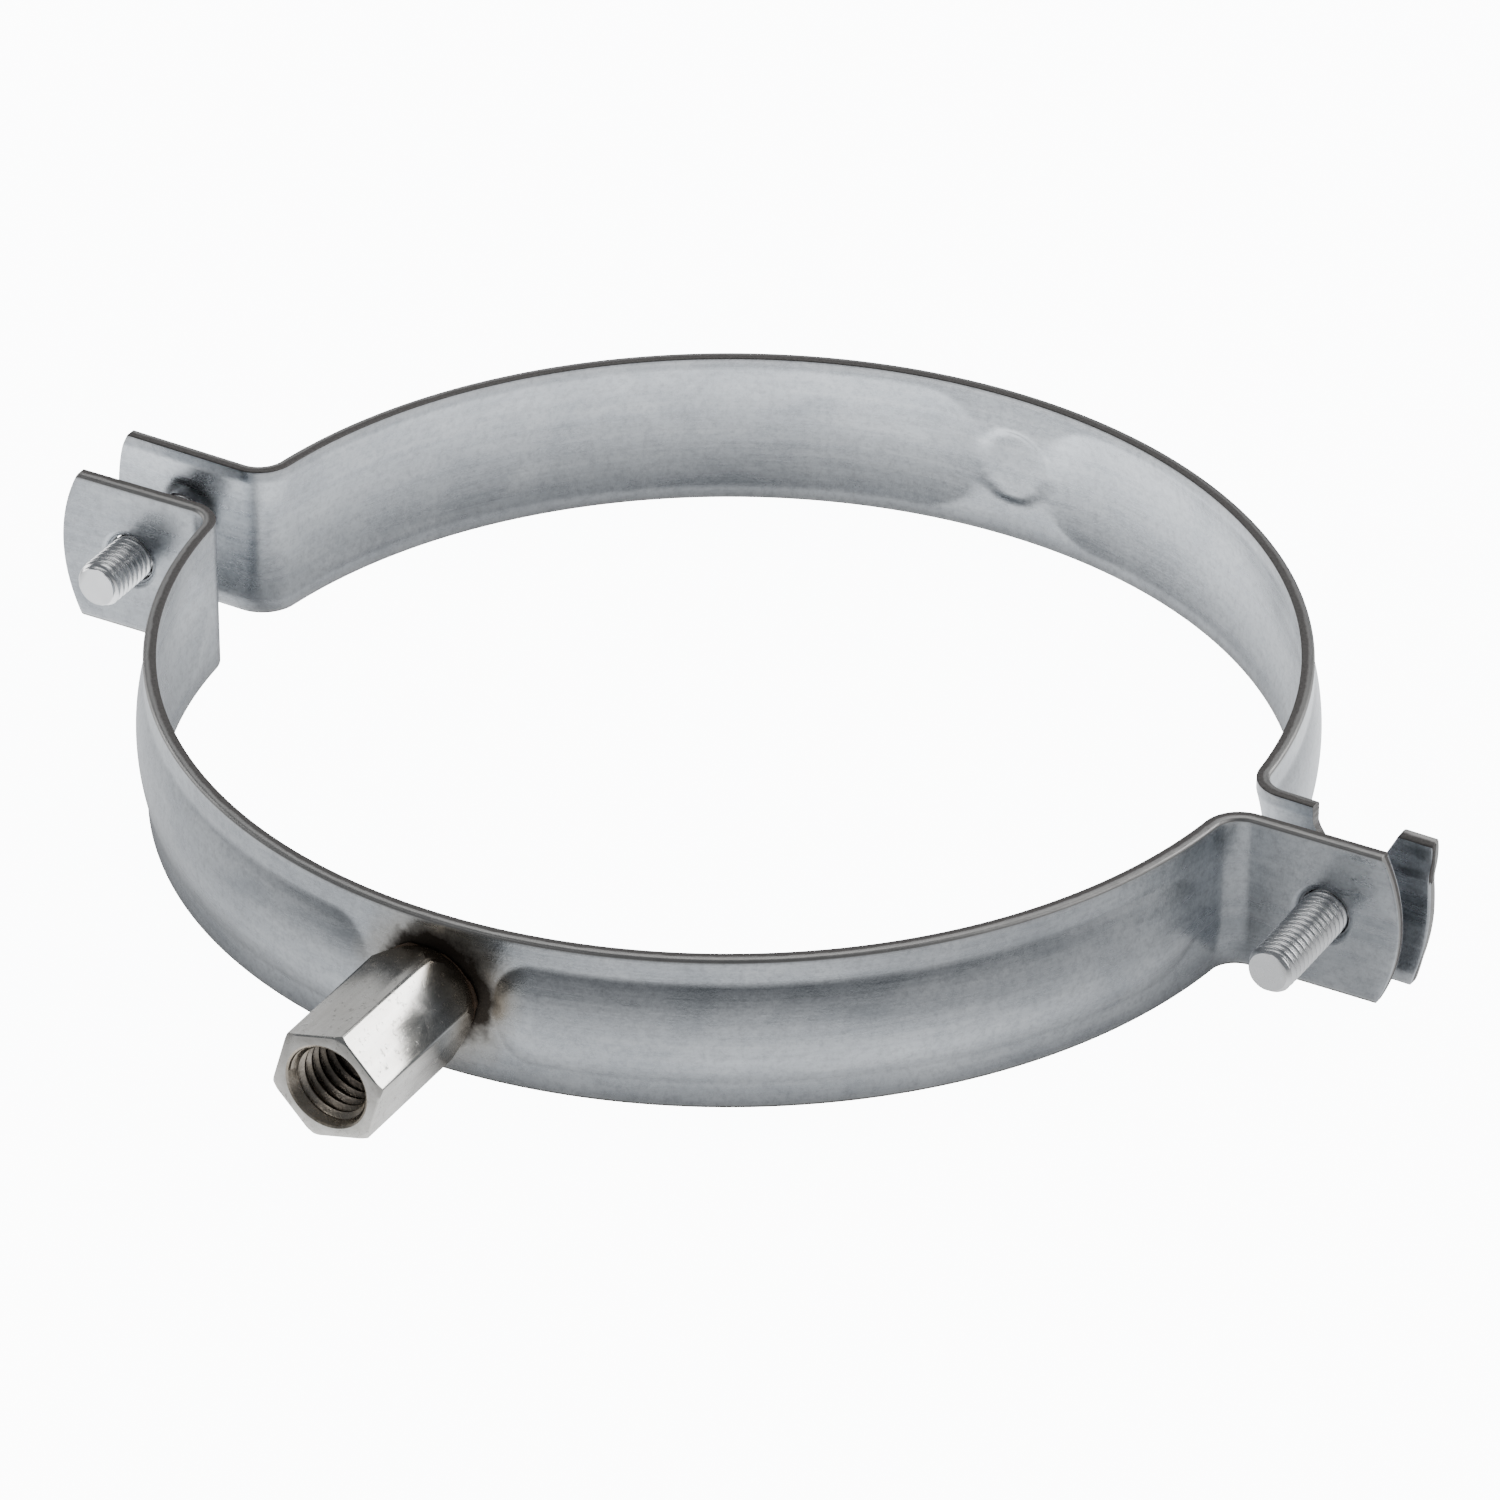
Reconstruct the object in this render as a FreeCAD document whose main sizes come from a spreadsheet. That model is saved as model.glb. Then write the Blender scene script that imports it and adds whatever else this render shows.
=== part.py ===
import FreeCAD, Part
import math
import os

import Sketcher

from FreeCAD import Placement, Rotation, Vector

# Two-screw duct clamp, modelled as its separate pieces, in millimetres.
#
# Frame: the ring's axis is Z and passes through the origin, the lower strip edges lie
# in z = 0, the ears lie along X, the front half is on the -Y side and carries the
# connecting nut, and the screws run along Y with their heads behind the rear half.

DIMENSIONS = {
    # strip and ring
    "strip_width": 20.0,
    "strip_gauge": 1.6,
    "ring_radius": 67.5,        # inside of the strip, the duct's radius
    "bend_radius": 3.2,         # hollow side of the bend between ring and ear
    "bead_rise": 1.1,           # how far the bead stands out of the strip
    "bead_width": 13.4,         # over the bead on the outside
    "trough_width": 16.8,       # over the bead on the inside
    # ears
    "ear_gap": 6.8,             # between the facing ears with both halves level
    "screw_reach": 11.9,        # ring's outside to the screw axis
    "screw_offset": "=ring_radius + strip_gauge + screw_reach",
    "ear_tail": 7.2,            # screw axis to the ear's corners
    "end_bulge": 2.4,           # how far the rounded end passes the corners
    "slotted_tail": 8.9,        # the same two sizes of the slotted ear
    "slotted_bulge": 1.4,
    "rear_tilt": 1.8,           # turn of the rear half about the ring axis, degrees
    # collars drawn out of the front ears
    "collar_wall": 1.0,
    "collar_height": 1.4,
    "collar_lip": 1.2,          # rounding at the collar's mouth
    # bead run-outs
    "pad_half": 13.0,           # ring centre line to the full bead, along X
    "pad_fade": 5.5,            # length of the run-out at the pad
    "ear_fade": 12.0,           # length of the front run-out before the bend
    "fade_sink": 1.3,           # how far a run-out sinks
    "bead_root": 0.25,          # how far the bead's profile reaches into the strip
    "dimple_radius": 4.8,
    "dimple_depth": 0.35,
    # quick-lock slot in the rear right ear
    "slot_play": 0.35,          # radial, screw in the slot
    "slot_straight": 4.0,       # slot centre to the start of its mouth
    "mouth_inner": 4.6,         # half width of the mouth towards the ring
    "mouth_outer": 5.8,         # half width of the mouth towards the end
    "mouth_rise": 3.5,          # height of the mouth's slopes
    "lip_drop": 4.8,            # strip's top to the end piece below its lip
    "lip_foot": 5.36,           # strip's top to the foot of the lip's middle surface
    "lip_bend": 4.77,           # radius of the lip's middle surface
    "lip_start": -36.0,         # forward lean at its foot, degrees
    "lip_end": 17.0,            # forward lean at its top, degrees
    "lip_set": 1.35,            # foot of the lip behind the ear's front face
    # screws and their retainers
    "thread_diameter": 5.9,
    "screw_length": 22.6,
    "thread_play": 0.06,        # radial, screw in collar
    "hole_play": 0.3,           # radial, screw in the rear left ear
    "tip_chamfer": 1.0,         # axial
    "tip_sink": 0.6,            # radial
    "head_overhang": 1.35,      # radial, head over thread
    "head_height": 2.6,
    "head_rim": 0.8,            # straight side of the head below its dome
    "recess_width": 1.3,
    "recess_span": 5.0,
    "recess_depth": 1.7,
    "left_slack": 1.42,         # under the head to the back of the rear ear's bead
    "right_slack": 0.08,
    "retainer_overhang": 0.95,  # radial, retainer over thread
    "retainer_gauge": 0.8,
    "retainer_play": 0.05,      # radial, screw in retainer
    "retainer_gap": 0.45,       # retainer to the front of the rear ear
    # connecting nut
    "nut_across": 13.0,
    "nut_length": 22.0,
    "nut_turn": 13.7,           # corner above the X axis, degrees
    "nut_chamfer": 0.45,        # axial, on a corner
    "nut_foot_chamfer": 0.9,    # the same at the strip's end
    "wide_bore": 8.5,           # M10 thread's inside diameter
    "wide_depth": 11.0,
    "narrow_bore": 6.8,         # M8 thread's inside diameter
    "mouth_sink": 1.1,
    "weld_gap": 0.25,
    "weld_diameter": 13.2,
    # working allowances
    "cut_margin": 2.0,          # how far a cutting outline stays outside the strip
    "through": 60.0,            # depth of a cut that goes right through an ear
}

doc = FreeCAD.newDocument("duct_clamp")
sheet = doc.addObject("Spreadsheet::Sheet", "Sheet")
for row, (alias, value) in enumerate(DIMENSIONS.items(), start=1):
    sheet.set(f"A{row}", alias)
    sheet.set(f"B{row}", str(value))
    sheet.setAlias(f"B{row}", alias)
doc.recompute()


def size(alias):
    return float(sheet.get(alias))


# ---------------------------------------------------------------- sketch helpers

def new_body(label):
    body = doc.addObject("PartDesign::Body", label)
    body.Label = label
    return body


def new_sketch(body, name, role, **offsets):
    """A sketch on one of the body's own origin planes, shifted by bound offsets."""
    plane = next(item for item in body.Origin.OriginFeatures if item.Role == role)
    sketch = body.newObject("Sketcher::SketchObject", name)
    sketch.AttachmentSupport = [(plane, "")]
    sketch.MapMode = "FlatFace"
    for axis, text in offsets.items():
        sketch.setExpression(f"AttachmentOffset.Base.{axis}", text)
    return sketch


def radial_sketch(body, name, angle):
    """A sketch in the plane that holds the ring axis, its x pointing out at angle."""
    sketch = new_sketch(body, name, "XZ_Plane")
    sketch.AttachmentOffset = Placement(Vector(), Rotation(Vector(0, 1, 0), math.degrees(angle)))
    return sketch


def value_of(sketch, text):
    """The value of an expression, for a first guess that the solver then holds."""
    return float(sketch.evalExpression(text))


def pin_point(sketch, geometry, end, x=None, y=None):
    """Hold a point at the expressions x and y, on the side where it already lies."""
    point = sketch.getPoint(geometry, end)
    for kind, text, here in (("DistanceX", x, point.x), ("DistanceY", y, point.y)):
        if text is None:
            continue
        ends = (-1, 1, geometry, end) if here >= 0 else (geometry, end, -1, 1)
        index = sketch.addConstraint(Sketcher.Constraint(kind, *ends, abs(here)))
        sketch.setExpression(f"Constraints[{index}]", text)


def bind(sketch, kind, geometry, text):
    value = value_of(sketch, text)
    index = sketch.addConstraint(Sketcher.Constraint(kind, geometry, value))
    sketch.setExpression(f"Constraints[{index}]", text)


def at_origin(sketch, geometry, end=3):
    sketch.addConstraint(Sketcher.Constraint("Coincident", geometry, end, -1, 1))


def add_line(sketch, start, end):
    line = Part.LineSegment(Vector(*start, 0), Vector(*end, 0))
    return sketch.addGeometry(line, False), 1, 2


def add_arc(sketch, centre, radius, first, last):
    """An arc from angle first to angle last; the sketch stores it counter-clockwise."""
    circle = Part.Circle(Vector(*centre, 0), Vector(0, 0, 1), radius)
    low, high = sorted((first, last))
    index = sketch.addGeometry(Part.ArcOfCircle(circle, low, high), False)
    return (index, 1, 2) if first < last else (index, 2, 1)


def join(sketch, pieces, kind, closed=False):
    """Join each piece's end to the next piece's start."""
    following = pieces[1:] + pieces[:1] if closed else pieces[1:]
    for (one, _, end), (two, start, _) in zip(pieces, following):
        sketch.addConstraint(Sketcher.Constraint(kind, one, end, two, start))


def outline(sketch, corners):
    """A closed outline of straight lines through corners, each an (x, y) pair of texts."""
    points = [(value_of(sketch, x), value_of(sketch, y)) for x, y in corners]
    lines = [add_line(sketch, one, two) for one, two in zip(points, points[1:] + points[:1])]
    join(sketch, lines, "Coincident", closed=True)
    for (line, start, _), (x, y), point in zip(lines, corners, points):
        pin_point(sketch, line, start, f"abs({x})", f"abs({y})")
    return lines


def add_circle(sketch, x, y, radius):
    """A circle whose centre and radius are expressions."""
    centre = Vector(value_of(sketch, x), value_of(sketch, y), 0)
    circle = Part.Circle(centre, Vector(0, 0, 1), value_of(sketch, radius))
    index = sketch.addGeometry(circle, False)
    bind(sketch, "Radius", index, radius)
    if centre.Length < 1e-9:
        at_origin(sketch, index)
    else:
        pin_point(sketch, index, 3, f"abs({x})", f"abs({y})")
    return index


# ---------------------------------------------------------------- feature helpers

def pad(body, name, sketch, length, both=False, reverse=False):
    feature = body.newObject("PartDesign::Pad", name)
    feature.Profile = sketch
    feature.Midplane = both
    feature.Reversed = reverse
    feature.setExpression("Length", length)
    sketch.Visibility = False
    return feature


def pocket(body, name, sketch, length, both=False, reverse=False):
    """A pocket, checked to take something away."""
    doc.recompute()
    before = body.Shape.Volume
    feature = body.newObject("PartDesign::Pocket", name)
    feature.Profile = sketch
    feature.Midplane = both
    feature.Reversed = reverse
    feature.setExpression("Length", length)
    doc.recompute()
    if not feature.Shape.Volume < before - 1e-6:
        raise RuntimeError(f"{name} cuts nothing")
    return feature


def pipe(body, name, kind, profile, path):
    """Carry profile along the whole of path; kind is Additive or Subtractive."""
    doc.recompute()
    feature = body.newObject(f"PartDesign::{kind}Pipe", name)
    feature.Profile = profile
    edges = [f"Edge{number + 1}" for number in range(path.GeometryCount)]
    feature.Spine = (path, edges)
    doc.recompute()
    return feature


def round_edges(body, name, radius, wanted):
    """Fillet the edges of the body's tip for which wanted(edge) is true."""
    doc.recompute()
    tip = body.Tip
    edges = [f"Edge{n}" for n, edge in enumerate(tip.Shape.Edges, 1) if wanted(edge)]
    if not edges:
        raise RuntimeError(f"{name} finds no edge")
    feature = body.newObject("PartDesign::Fillet", name)
    feature.Base = (tip, edges)
    feature.setExpression("Radius", radius)
    doc.recompute()
    return feature


# ---------------------------------------------------------------- strip halves

FRONT, REAR = -1, 1
LEFT, RIGHT = -1, 1
WIDE = "Sheet.strip_width"
THREAD = "(Sheet.thread_diameter / 2)"
SLOT_HALF = "(Sheet.thread_diameter / 2 + Sheet.slot_play)"
LIP_FOOT = "(Sheet.strip_width - Sheet.lip_foot)"
RING = "(Sheet.ring_radius + Sheet.strip_gauge / 2)"
OUTSIDE = "(Sheet.ring_radius + Sheet.strip_gauge)"
LEVEL = "(Sheet.ear_gap / 2 + Sheet.strip_gauge / 2)"
BEND = "(Sheet.bend_radius + Sheet.strip_gauge / 2)"
END_X = "(Sheet.screw_offset + Sheet.slotted_tail + Sheet.slotted_bulge)"

ring = size("ring_radius") + size("strip_gauge") / 2
level = (size("ear_gap") + size("strip_gauge")) / 2
bend = size("bend_radius") + size("strip_gauge") / 2
bend_x = math.sqrt((ring + bend) ** 2 - (level + bend) ** 2)
bend_angle = math.atan2(level + bend, bend_x)
end_x = size("screw_offset") + size("slotted_tail") + size("slotted_bulge")


def turned(angle, across, half):
    """An angle given for the rear right quarter, carried to another quarter."""
    if across == LEFT:
        angle = math.pi - angle
    return angle * half


def strip_path(body, half):
    """Middle line of a strip half: ear, bend, ring, bend, ear."""
    path = new_sketch(body, "strip_path", "XY_Plane")
    ear_y = half * level
    bend_y = half * (level + bend)
    parts = [
        add_line(path, (end_x, ear_y), (bend_x, ear_y)),
        add_arc(path, (bend_x, bend_y), bend,
                half * 3 * math.pi / 2, half * (math.pi + bend_angle)),
        add_arc(path, (0, 0), ring, half * bend_angle, half * (math.pi - bend_angle)),
        add_arc(path, (-bend_x, bend_y), bend,
                half * -bend_angle, half * -math.pi / 2),
        add_line(path, (-bend_x, ear_y), (-end_x, ear_y)),
    ]
    join(path, parts, "Tangent")
    at_origin(path, parts[2][0])
    bind(path, "Radius", parts[2][0], RING)
    bind(path, "Radius", parts[1][0], BEND)
    bind(path, "Radius", parts[3][0], BEND)
    for line, end in ((parts[0][0], 1), (parts[4][0], 2)):
        path.addConstraint(Sketcher.Constraint("Horizontal", line))
        pin_point(path, line, end, END_X, LEVEL)
    return path


def strip(body, half):
    """The plain bent strip."""
    section = new_sketch(body, "strip_section", "YZ_Plane", z=END_X)
    sign = "-1" if half == FRONT else "1"
    near = f"{sign} * Sheet.ear_gap / 2"
    far = f"{sign} * (Sheet.ear_gap / 2 + Sheet.strip_gauge)"
    outline(section, [(near, "0"), (far, "0"), (far, WIDE), (near, WIDE)])
    return pipe(body, "strip", "Additive", section, strip_path(body, half))


def bead_section(body, name, angle, face, width):
    """A flat-based crown of the bead's rise, standing on the face at radius face."""
    section = radial_sketch(body, name, angle)
    low = f"({WIDE} / 2 - {width} / 2)"
    high = f"({WIDE} / 2 + {width} / 2)"
    root = f"({face} - Sheet.bead_root)"
    radius = f"(({width} / 2) ^ 2 + Sheet.bead_rise ^ 2) / (2 * Sheet.bead_rise)"
    x, foot = value_of(section, face), value_of(section, root)
    bottom, top = value_of(section, low), value_of(section, high)
    crown = value_of(section, radius)
    lean = math.asin((top - bottom) / 2 / crown)
    centre = (x - crown * math.cos(lean), (bottom + top) / 2)
    parts = [
        add_arc(section, centre, crown, -lean, lean),
        add_line(section, (x, top), (foot, top)),
        add_line(section, (foot, top), (foot, bottom)),
        add_line(section, (foot, bottom), (x, bottom)),
    ]
    join(section, parts, "Coincident", closed=True)
    bind(section, "Radius", parts[0][0], radius)
    pin_point(section, parts[1][0], 1, face, high)
    pin_point(section, parts[3][0], 2, face, low)
    pin_point(section, parts[2][0], 1, root, high)
    pin_point(section, parts[2][0], 2, root, low)
    return section


def fade_radius(length):
    """Radius of a run-out that sinks by fade_sink over its length."""
    return f"(1 / (1 / {RING} + 2 * Sheet.fade_sink / {length} ^ 2))"


def run_to_pad(body, name, half, across):
    """Bead path from the middle of a quarter to its run-out at the pad."""
    path = new_sketch(body, name, "XY_Plane")
    start = math.pi / 4
    fade_at = math.acos(size("pad_half") / ring)
    radius = value_of(path, fade_radius("Sheet.pad_fade"))
    centre = ((ring - radius) * math.cos(fade_at) * across,
              (ring - radius) * math.sin(fade_at) * half)
    parts = [
        add_arc(path, (0, 0), ring, turned(start, across, half), turned(fade_at, across, half)),
        add_arc(path, centre, radius, turned(fade_at, across, half),
                turned(fade_at + size("pad_fade") / radius, across, half)),
    ]
    join(path, parts, "Tangent")
    hold_run(path, parts, "Sheet.pad_fade")
    pin_point(path, parts[0][0], parts[0][2], x="Sheet.pad_half")
    pin_point(path, parts[1][0], parts[1][2], x="Sheet.pad_half - Sheet.pad_fade")
    return path


def hold_run(path, parts, length):
    """Hold a ring arc that starts in the middle of its quarter, and the fade after it."""
    at_origin(path, parts[0][0])
    bind(path, "Radius", parts[0][0], RING)
    bind(path, "Radius", parts[1][0], fade_radius(length))
    pin_point(path, parts[0][0], parts[0][1], x=f"{RING} * sqrt(0.5)")


def run_to_bend(body, name, across):
    """Front bead path from the middle of a quarter to its run-out before the bend."""
    path = new_sketch(body, name, "XY_Plane")
    fade_y = level + bend + size("ear_fade")
    fade_at = math.asin(fade_y / ring)
    radius = value_of(path, fade_radius("Sheet.ear_fade"))
    centre = ((ring - radius) * math.cos(fade_at) * across,
              (ring - radius) * math.sin(fade_at) * FRONT)
    parts = [
        add_arc(path, (0, 0), ring, turned(math.pi / 4, across, FRONT),
                turned(fade_at, across, FRONT)),
        add_arc(path, centre, radius, turned(fade_at, across, FRONT),
                turned(fade_at - size("ear_fade") / radius, across, FRONT)),
    ]
    join(path, parts, "Tangent")
    hold_run(path, parts, "Sheet.ear_fade")
    pin_point(path, parts[0][0], parts[0][2], y=f"{LEVEL} + {BEND} + Sheet.ear_fade")
    pin_point(path, parts[1][0], parts[1][2], y=f"{LEVEL} + {BEND}")
    return path


def run_through_ear(body, name, across):
    """Rear bead path from the middle of a quarter round the bend to the ear's end."""
    path = new_sketch(body, name, "XY_Plane")
    parts = [
        add_arc(path, (0, 0), ring, turned(math.pi / 4, across, REAR),
                turned(bend_angle, across, REAR)),
        add_arc(path, (across * bend_x, level + bend), bend,
                turned(math.pi + bend_angle, across, REAR), turned(3 * math.pi / 2, across, REAR)),
        add_line(path, (across * bend_x, level), (across * end_x, level)),
    ]
    join(path, parts, "Tangent")
    at_origin(path, parts[0][0])
    bind(path, "Radius", parts[0][0], RING)
    bind(path, "Radius", parts[1][0], BEND)
    pin_point(path, parts[0][0], parts[0][1], x=f"{RING} * sqrt(0.5)")
    path.addConstraint(Sketcher.Constraint("Horizontal", parts[2][0]))
    pin_point(path, parts[2][0], 2, END_X, LEVEL)
    return path


def beads(body, half):
    """The bead of a half: a ridge outside and a trough inside, on each side of the pad."""
    runs = []
    for across, side in ((RIGHT, "right"), (LEFT, "left")):
        runs.append((across, f"{side}_pad", run_to_pad(body, f"path_{side}_pad", half, across)))
        if half == FRONT:
            path = run_to_bend(body, f"path_{side}_bend", across)
        else:
            path = run_through_ear(body, f"path_{side}_ear", across)
        runs.append((across, f"{side}_out", path))
    shapes = (
        ("Additive", "ridge", OUTSIDE, "Sheet.bead_width"),
        ("Subtractive", "trough", "Sheet.ring_radius", "Sheet.trough_width"),
    )
    for kind, word, face, width in shapes:
        for across, name, path in runs:
            angle = turned(math.pi / 4, across, half)
            section = bead_section(body, f"{word}_section_{name}", angle, face, width)
            pipe(body, f"{word}_{name}", kind, section, path)


def end_cut(body, name, across, slotted=False):
    """Trim an ear to its rounded end; the slotted ear's stays straight above its middle."""
    tail, bulge = ("slotted_tail", "slotted_bulge") if slotted else ("ear_tail", "end_bulge")
    cut = new_sketch(body, f"{name}_outline", "XZ_Plane")
    half_width, rise = size("strip_width") / 2, size(bulge)
    corner = size("screw_offset") + size(tail)
    radius = (half_width ** 2 + rise ** 2) / (2 * rise)
    lean = math.asin(half_width / radius)
    centre = (corner + rise - radius, half_width)
    margin = size("cut_margin")
    high = 2 * half_width
    top = 0.0 if slotted else lean
    finish = (corner + rise, half_width) if slotted else (corner, high)
    # the cut's outer border stays a margin clear of the strip
    far = end_x + margin
    points = [finish, (finish[0], high + margin), (far, high + margin),
              (far, -margin), (corner, -margin), (corner, 0.0)]
    if across == LEFT:
        centre = (-centre[0], centre[1])
        points = [(-x, z) for x, z in points]
    first, last = (-lean, top) if across == RIGHT else (math.pi + lean, math.pi - top)
    parts = [add_arc(cut, centre, radius, first, last)]
    parts += [add_line(cut, one, two) for one, two in zip(points, points[1:])]
    join(cut, parts, "Coincident", closed=True)
    corner_x = f"Sheet.screw_offset + Sheet.{tail}"
    crown = f"(({WIDE} / 2) ^ 2 + Sheet.{bulge} ^ 2) / (2 * Sheet.{bulge})"
    bind(cut, "Radius", parts[0][0], crown)
    pin_point(cut, parts[0][0], 3, f"abs({corner_x} + Sheet.{bulge} - {crown})", f"{WIDE} / 2")
    for index, upright in zip(range(1, 6), (True, False, True, False, True)):
        word = "Vertical" if upright else "Horizontal"
        cut.addConstraint(Sketcher.Constraint(word, parts[index][0]))
    pin_point(cut, parts[0][0], parts[0][1], x=corner_x)
    if slotted:
        pin_point(cut, parts[0][0], parts[0][2], y=f"{WIDE} / 2")
    else:
        pin_point(cut, parts[0][0], parts[0][2], x=corner_x)
    pin_point(cut, parts[2][0], parts[2][2], f"{END_X} + Sheet.cut_margin",
              f"{WIDE} + Sheet.cut_margin")
    pin_point(cut, parts[4][0], parts[4][1], y="Sheet.cut_margin")
    return pocket(body, name, cut, "Sheet.through", both=True)


def on_centre(edge, x, z, radius):
    """True for a round edge about the line through x, z that runs along Y."""
    curve = edge.Curve
    if not isinstance(curve, Part.Circle):
        return False
    off = math.hypot(curve.Center.x - x, curve.Center.z - z)
    return off < 1e-4 and abs(curve.Radius - radius) < 1e-4


def collar(body, side, across):
    """A collar drawn out of a front ear towards the rear half, and the hole in it."""
    x = f"{across} * Sheet.screw_offset"
    z = f"{WIDE} / 2"
    bore = f"({THREAD} + Sheet.thread_play)"
    wall = new_sketch(body, f"{side}_collar_outline", "XZ_Plane",
                      z="Sheet.ear_gap / 2 + Sheet.strip_gauge / 2")
    add_circle(wall, x, z, f"{bore} + Sheet.collar_wall")
    pad(body, f"{side}_collar", wall, "Sheet.collar_height + Sheet.strip_gauge / 2", reverse=True)
    hole = new_sketch(body, f"{side}_hole_outline", "XZ_Plane", z=LEVEL)
    add_circle(hole, x, z, bore)
    pocket(body, f"{side}_hole", hole, "Sheet.through", both=True)
    face_y = -(size("ear_gap") / 2 + size("strip_gauge"))
    radius = size("thread_diameter") / 2 + size("thread_play")

    def is_mouth(edge):
        here = on_centre(edge, across * size("screw_offset"), size("strip_width") / 2, radius)
        return here and abs(edge.Curve.Center.y - face_y) < 1e-4

    round_edges(body, f"{side}_mouth", "Sheet.collar_lip", is_mouth)


def slot(body):
    """The open slot that lets the rear right ear drop off its screw."""
    cut = new_sketch(body, "slot_outline", "XZ_Plane")
    x = size("screw_offset")
    z = size("strip_width") / 2
    half = size("thread_diameter") / 2 + size("slot_play")
    straight = z + size("slot_straight")
    top = 2 * z + size("cut_margin")
    inner = x - size("mouth_inner")
    outer = x + size("mouth_outer")
    mouth = straight + size("mouth_rise")
    parts = [
        add_arc(cut, (x, z), half, -math.pi, 0),
        add_line(cut, (x + half, z), (x + half, straight)),
        add_line(cut, (x + half, straight), (outer, mouth)),
        add_line(cut, (outer, mouth), (outer, top)),
        add_line(cut, (outer, top), (inner, top)),
        add_line(cut, (inner, top), (inner, mouth)),
        add_line(cut, (inner, mouth), (x - half, straight)),
        add_line(cut, (x - half, straight), (x - half, z)),
    ]
    join(cut, parts, "Coincident", closed=True)
    bind(cut, "Radius", parts[0][0], SLOT_HALF)
    pin_point(cut, parts[0][0], 3, "Sheet.screw_offset", f"{WIDE} / 2")
    for index in (1, 3, 5, 7):
        cut.addConstraint(Sketcher.Constraint("Vertical", parts[index][0]))
    pin_point(cut, parts[1][0], 1, y=f"{WIDE} / 2")
    pin_point(cut, parts[7][0], 2, y=f"{WIDE} / 2")
    pin_point(cut, parts[2][0], 1, y=f"{WIDE} / 2 + Sheet.slot_straight")
    pin_point(cut, parts[7][0], 1, y=f"{WIDE} / 2 + Sheet.slot_straight")
    mouth_z = f"{WIDE} / 2 + Sheet.slot_straight + Sheet.mouth_rise"
    pin_point(cut, parts[3][0], 1, "Sheet.screw_offset + Sheet.mouth_outer", mouth_z)
    pin_point(cut, parts[5][0], 2, "Sheet.screw_offset - Sheet.mouth_inner", mouth_z)
    pin_point(cut, parts[4][0], 1, y=f"{WIDE} + Sheet.cut_margin")
    pin_point(cut, parts[4][0], 2, y=f"{WIDE} + Sheet.cut_margin")
    pocket(body, "slot", cut, "Sheet.through", both=True)


def lip(body):
    """The end piece's top, curled back and then forward."""
    mouth_x = "(Sheet.screw_offset + Sheet.mouth_outer)"
    clear = new_sketch(body, "lip_clearing", "XZ_Plane")
    foot = f"{WIDE} - Sheet.lip_drop"
    near_x = f"{mouth_x} - Sheet.cut_margin / 2"
    far_x = f"{END_X} + Sheet.cut_margin"
    high = f"{WIDE} + Sheet.cut_margin"
    outline(clear, [(near_x, foot), (far_x, foot), (far_x, high), (near_x, high)])
    pocket(body, "lip_clear", clear, "Sheet.through", both=True)
    shape = new_sketch(body, "lip_shape", "YZ_Plane", z=mouth_x)
    start, end = (math.radians(size(name)) for name in ("lip_start", "lip_end"))
    radius = size("lip_bend")
    half = size("strip_gauge") / 2
    foot_y = size("ear_gap") / 2 + size("lip_set")
    lip_foot_z = size("strip_width") - size("lip_foot")
    centre = (foot_y - radius * math.cos(start), lip_foot_z - radius * math.sin(start))

    def at(distance, angle):
        return centre[0] + distance * math.cos(angle), centre[1] + distance * math.sin(angle)

    near, far = radius - half, radius + half
    parts = [
        add_arc(shape, centre, far, start, end),
        add_line(shape, at(far, end), at(near, end)),
        add_arc(shape, centre, near, end, start),
        add_line(shape, at(near, start), at(far, start)),
    ]
    join(shape, parts, "Coincident", closed=True)
    shape.addConstraint(Sketcher.Constraint("Coincident", parts[0][0], 3, parts[2][0], 3))
    bind(shape, "Radius", parts[0][0], "Sheet.lip_bend + Sheet.strip_gauge / 2")
    bind(shape, "Radius", parts[2][0], "Sheet.lip_bend - Sheet.strip_gauge / 2")
    middle_z = f"({LIP_FOOT} - Sheet.lip_bend * sin(Sheet.lip_start * 1 deg))"
    pin_point(shape, parts[0][0], 3,
              "abs(Sheet.ear_gap / 2 + Sheet.lip_set"
              " - Sheet.lip_bend * cos(Sheet.lip_start * 1 deg))", middle_z)
    for line, degrees, outer_end in ((parts[1], "Sheet.lip_end", 1),
                                     (parts[3], "Sheet.lip_start", 2)):
        for end, sign in ((outer_end, "+"), (3 - outer_end, "-")):
            reach = f"(Sheet.lip_bend {sign} Sheet.strip_gauge / 2)"
            pin_point(shape, line[0], end, y=f"{middle_z} + {reach} * sin({degrees} * 1 deg)")
    return pad(body, "lip", shape, f"{END_X} - {mouth_x}")


def dimple(body):
    """The shallow round press mark in the middle of the rear half's pad."""
    mark = new_sketch(body, "dimple_outline", "XZ_Plane", z="Sheet.cut_margin - Sheet.ring_radius")
    add_circle(mark, "0", f"{WIDE} / 2", "Sheet.dimple_radius")
    pocket(body, "dimple", mark, "Sheet.dimple_depth + Sheet.cut_margin")


# ---------------------------------------------------------------- the two halves

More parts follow.
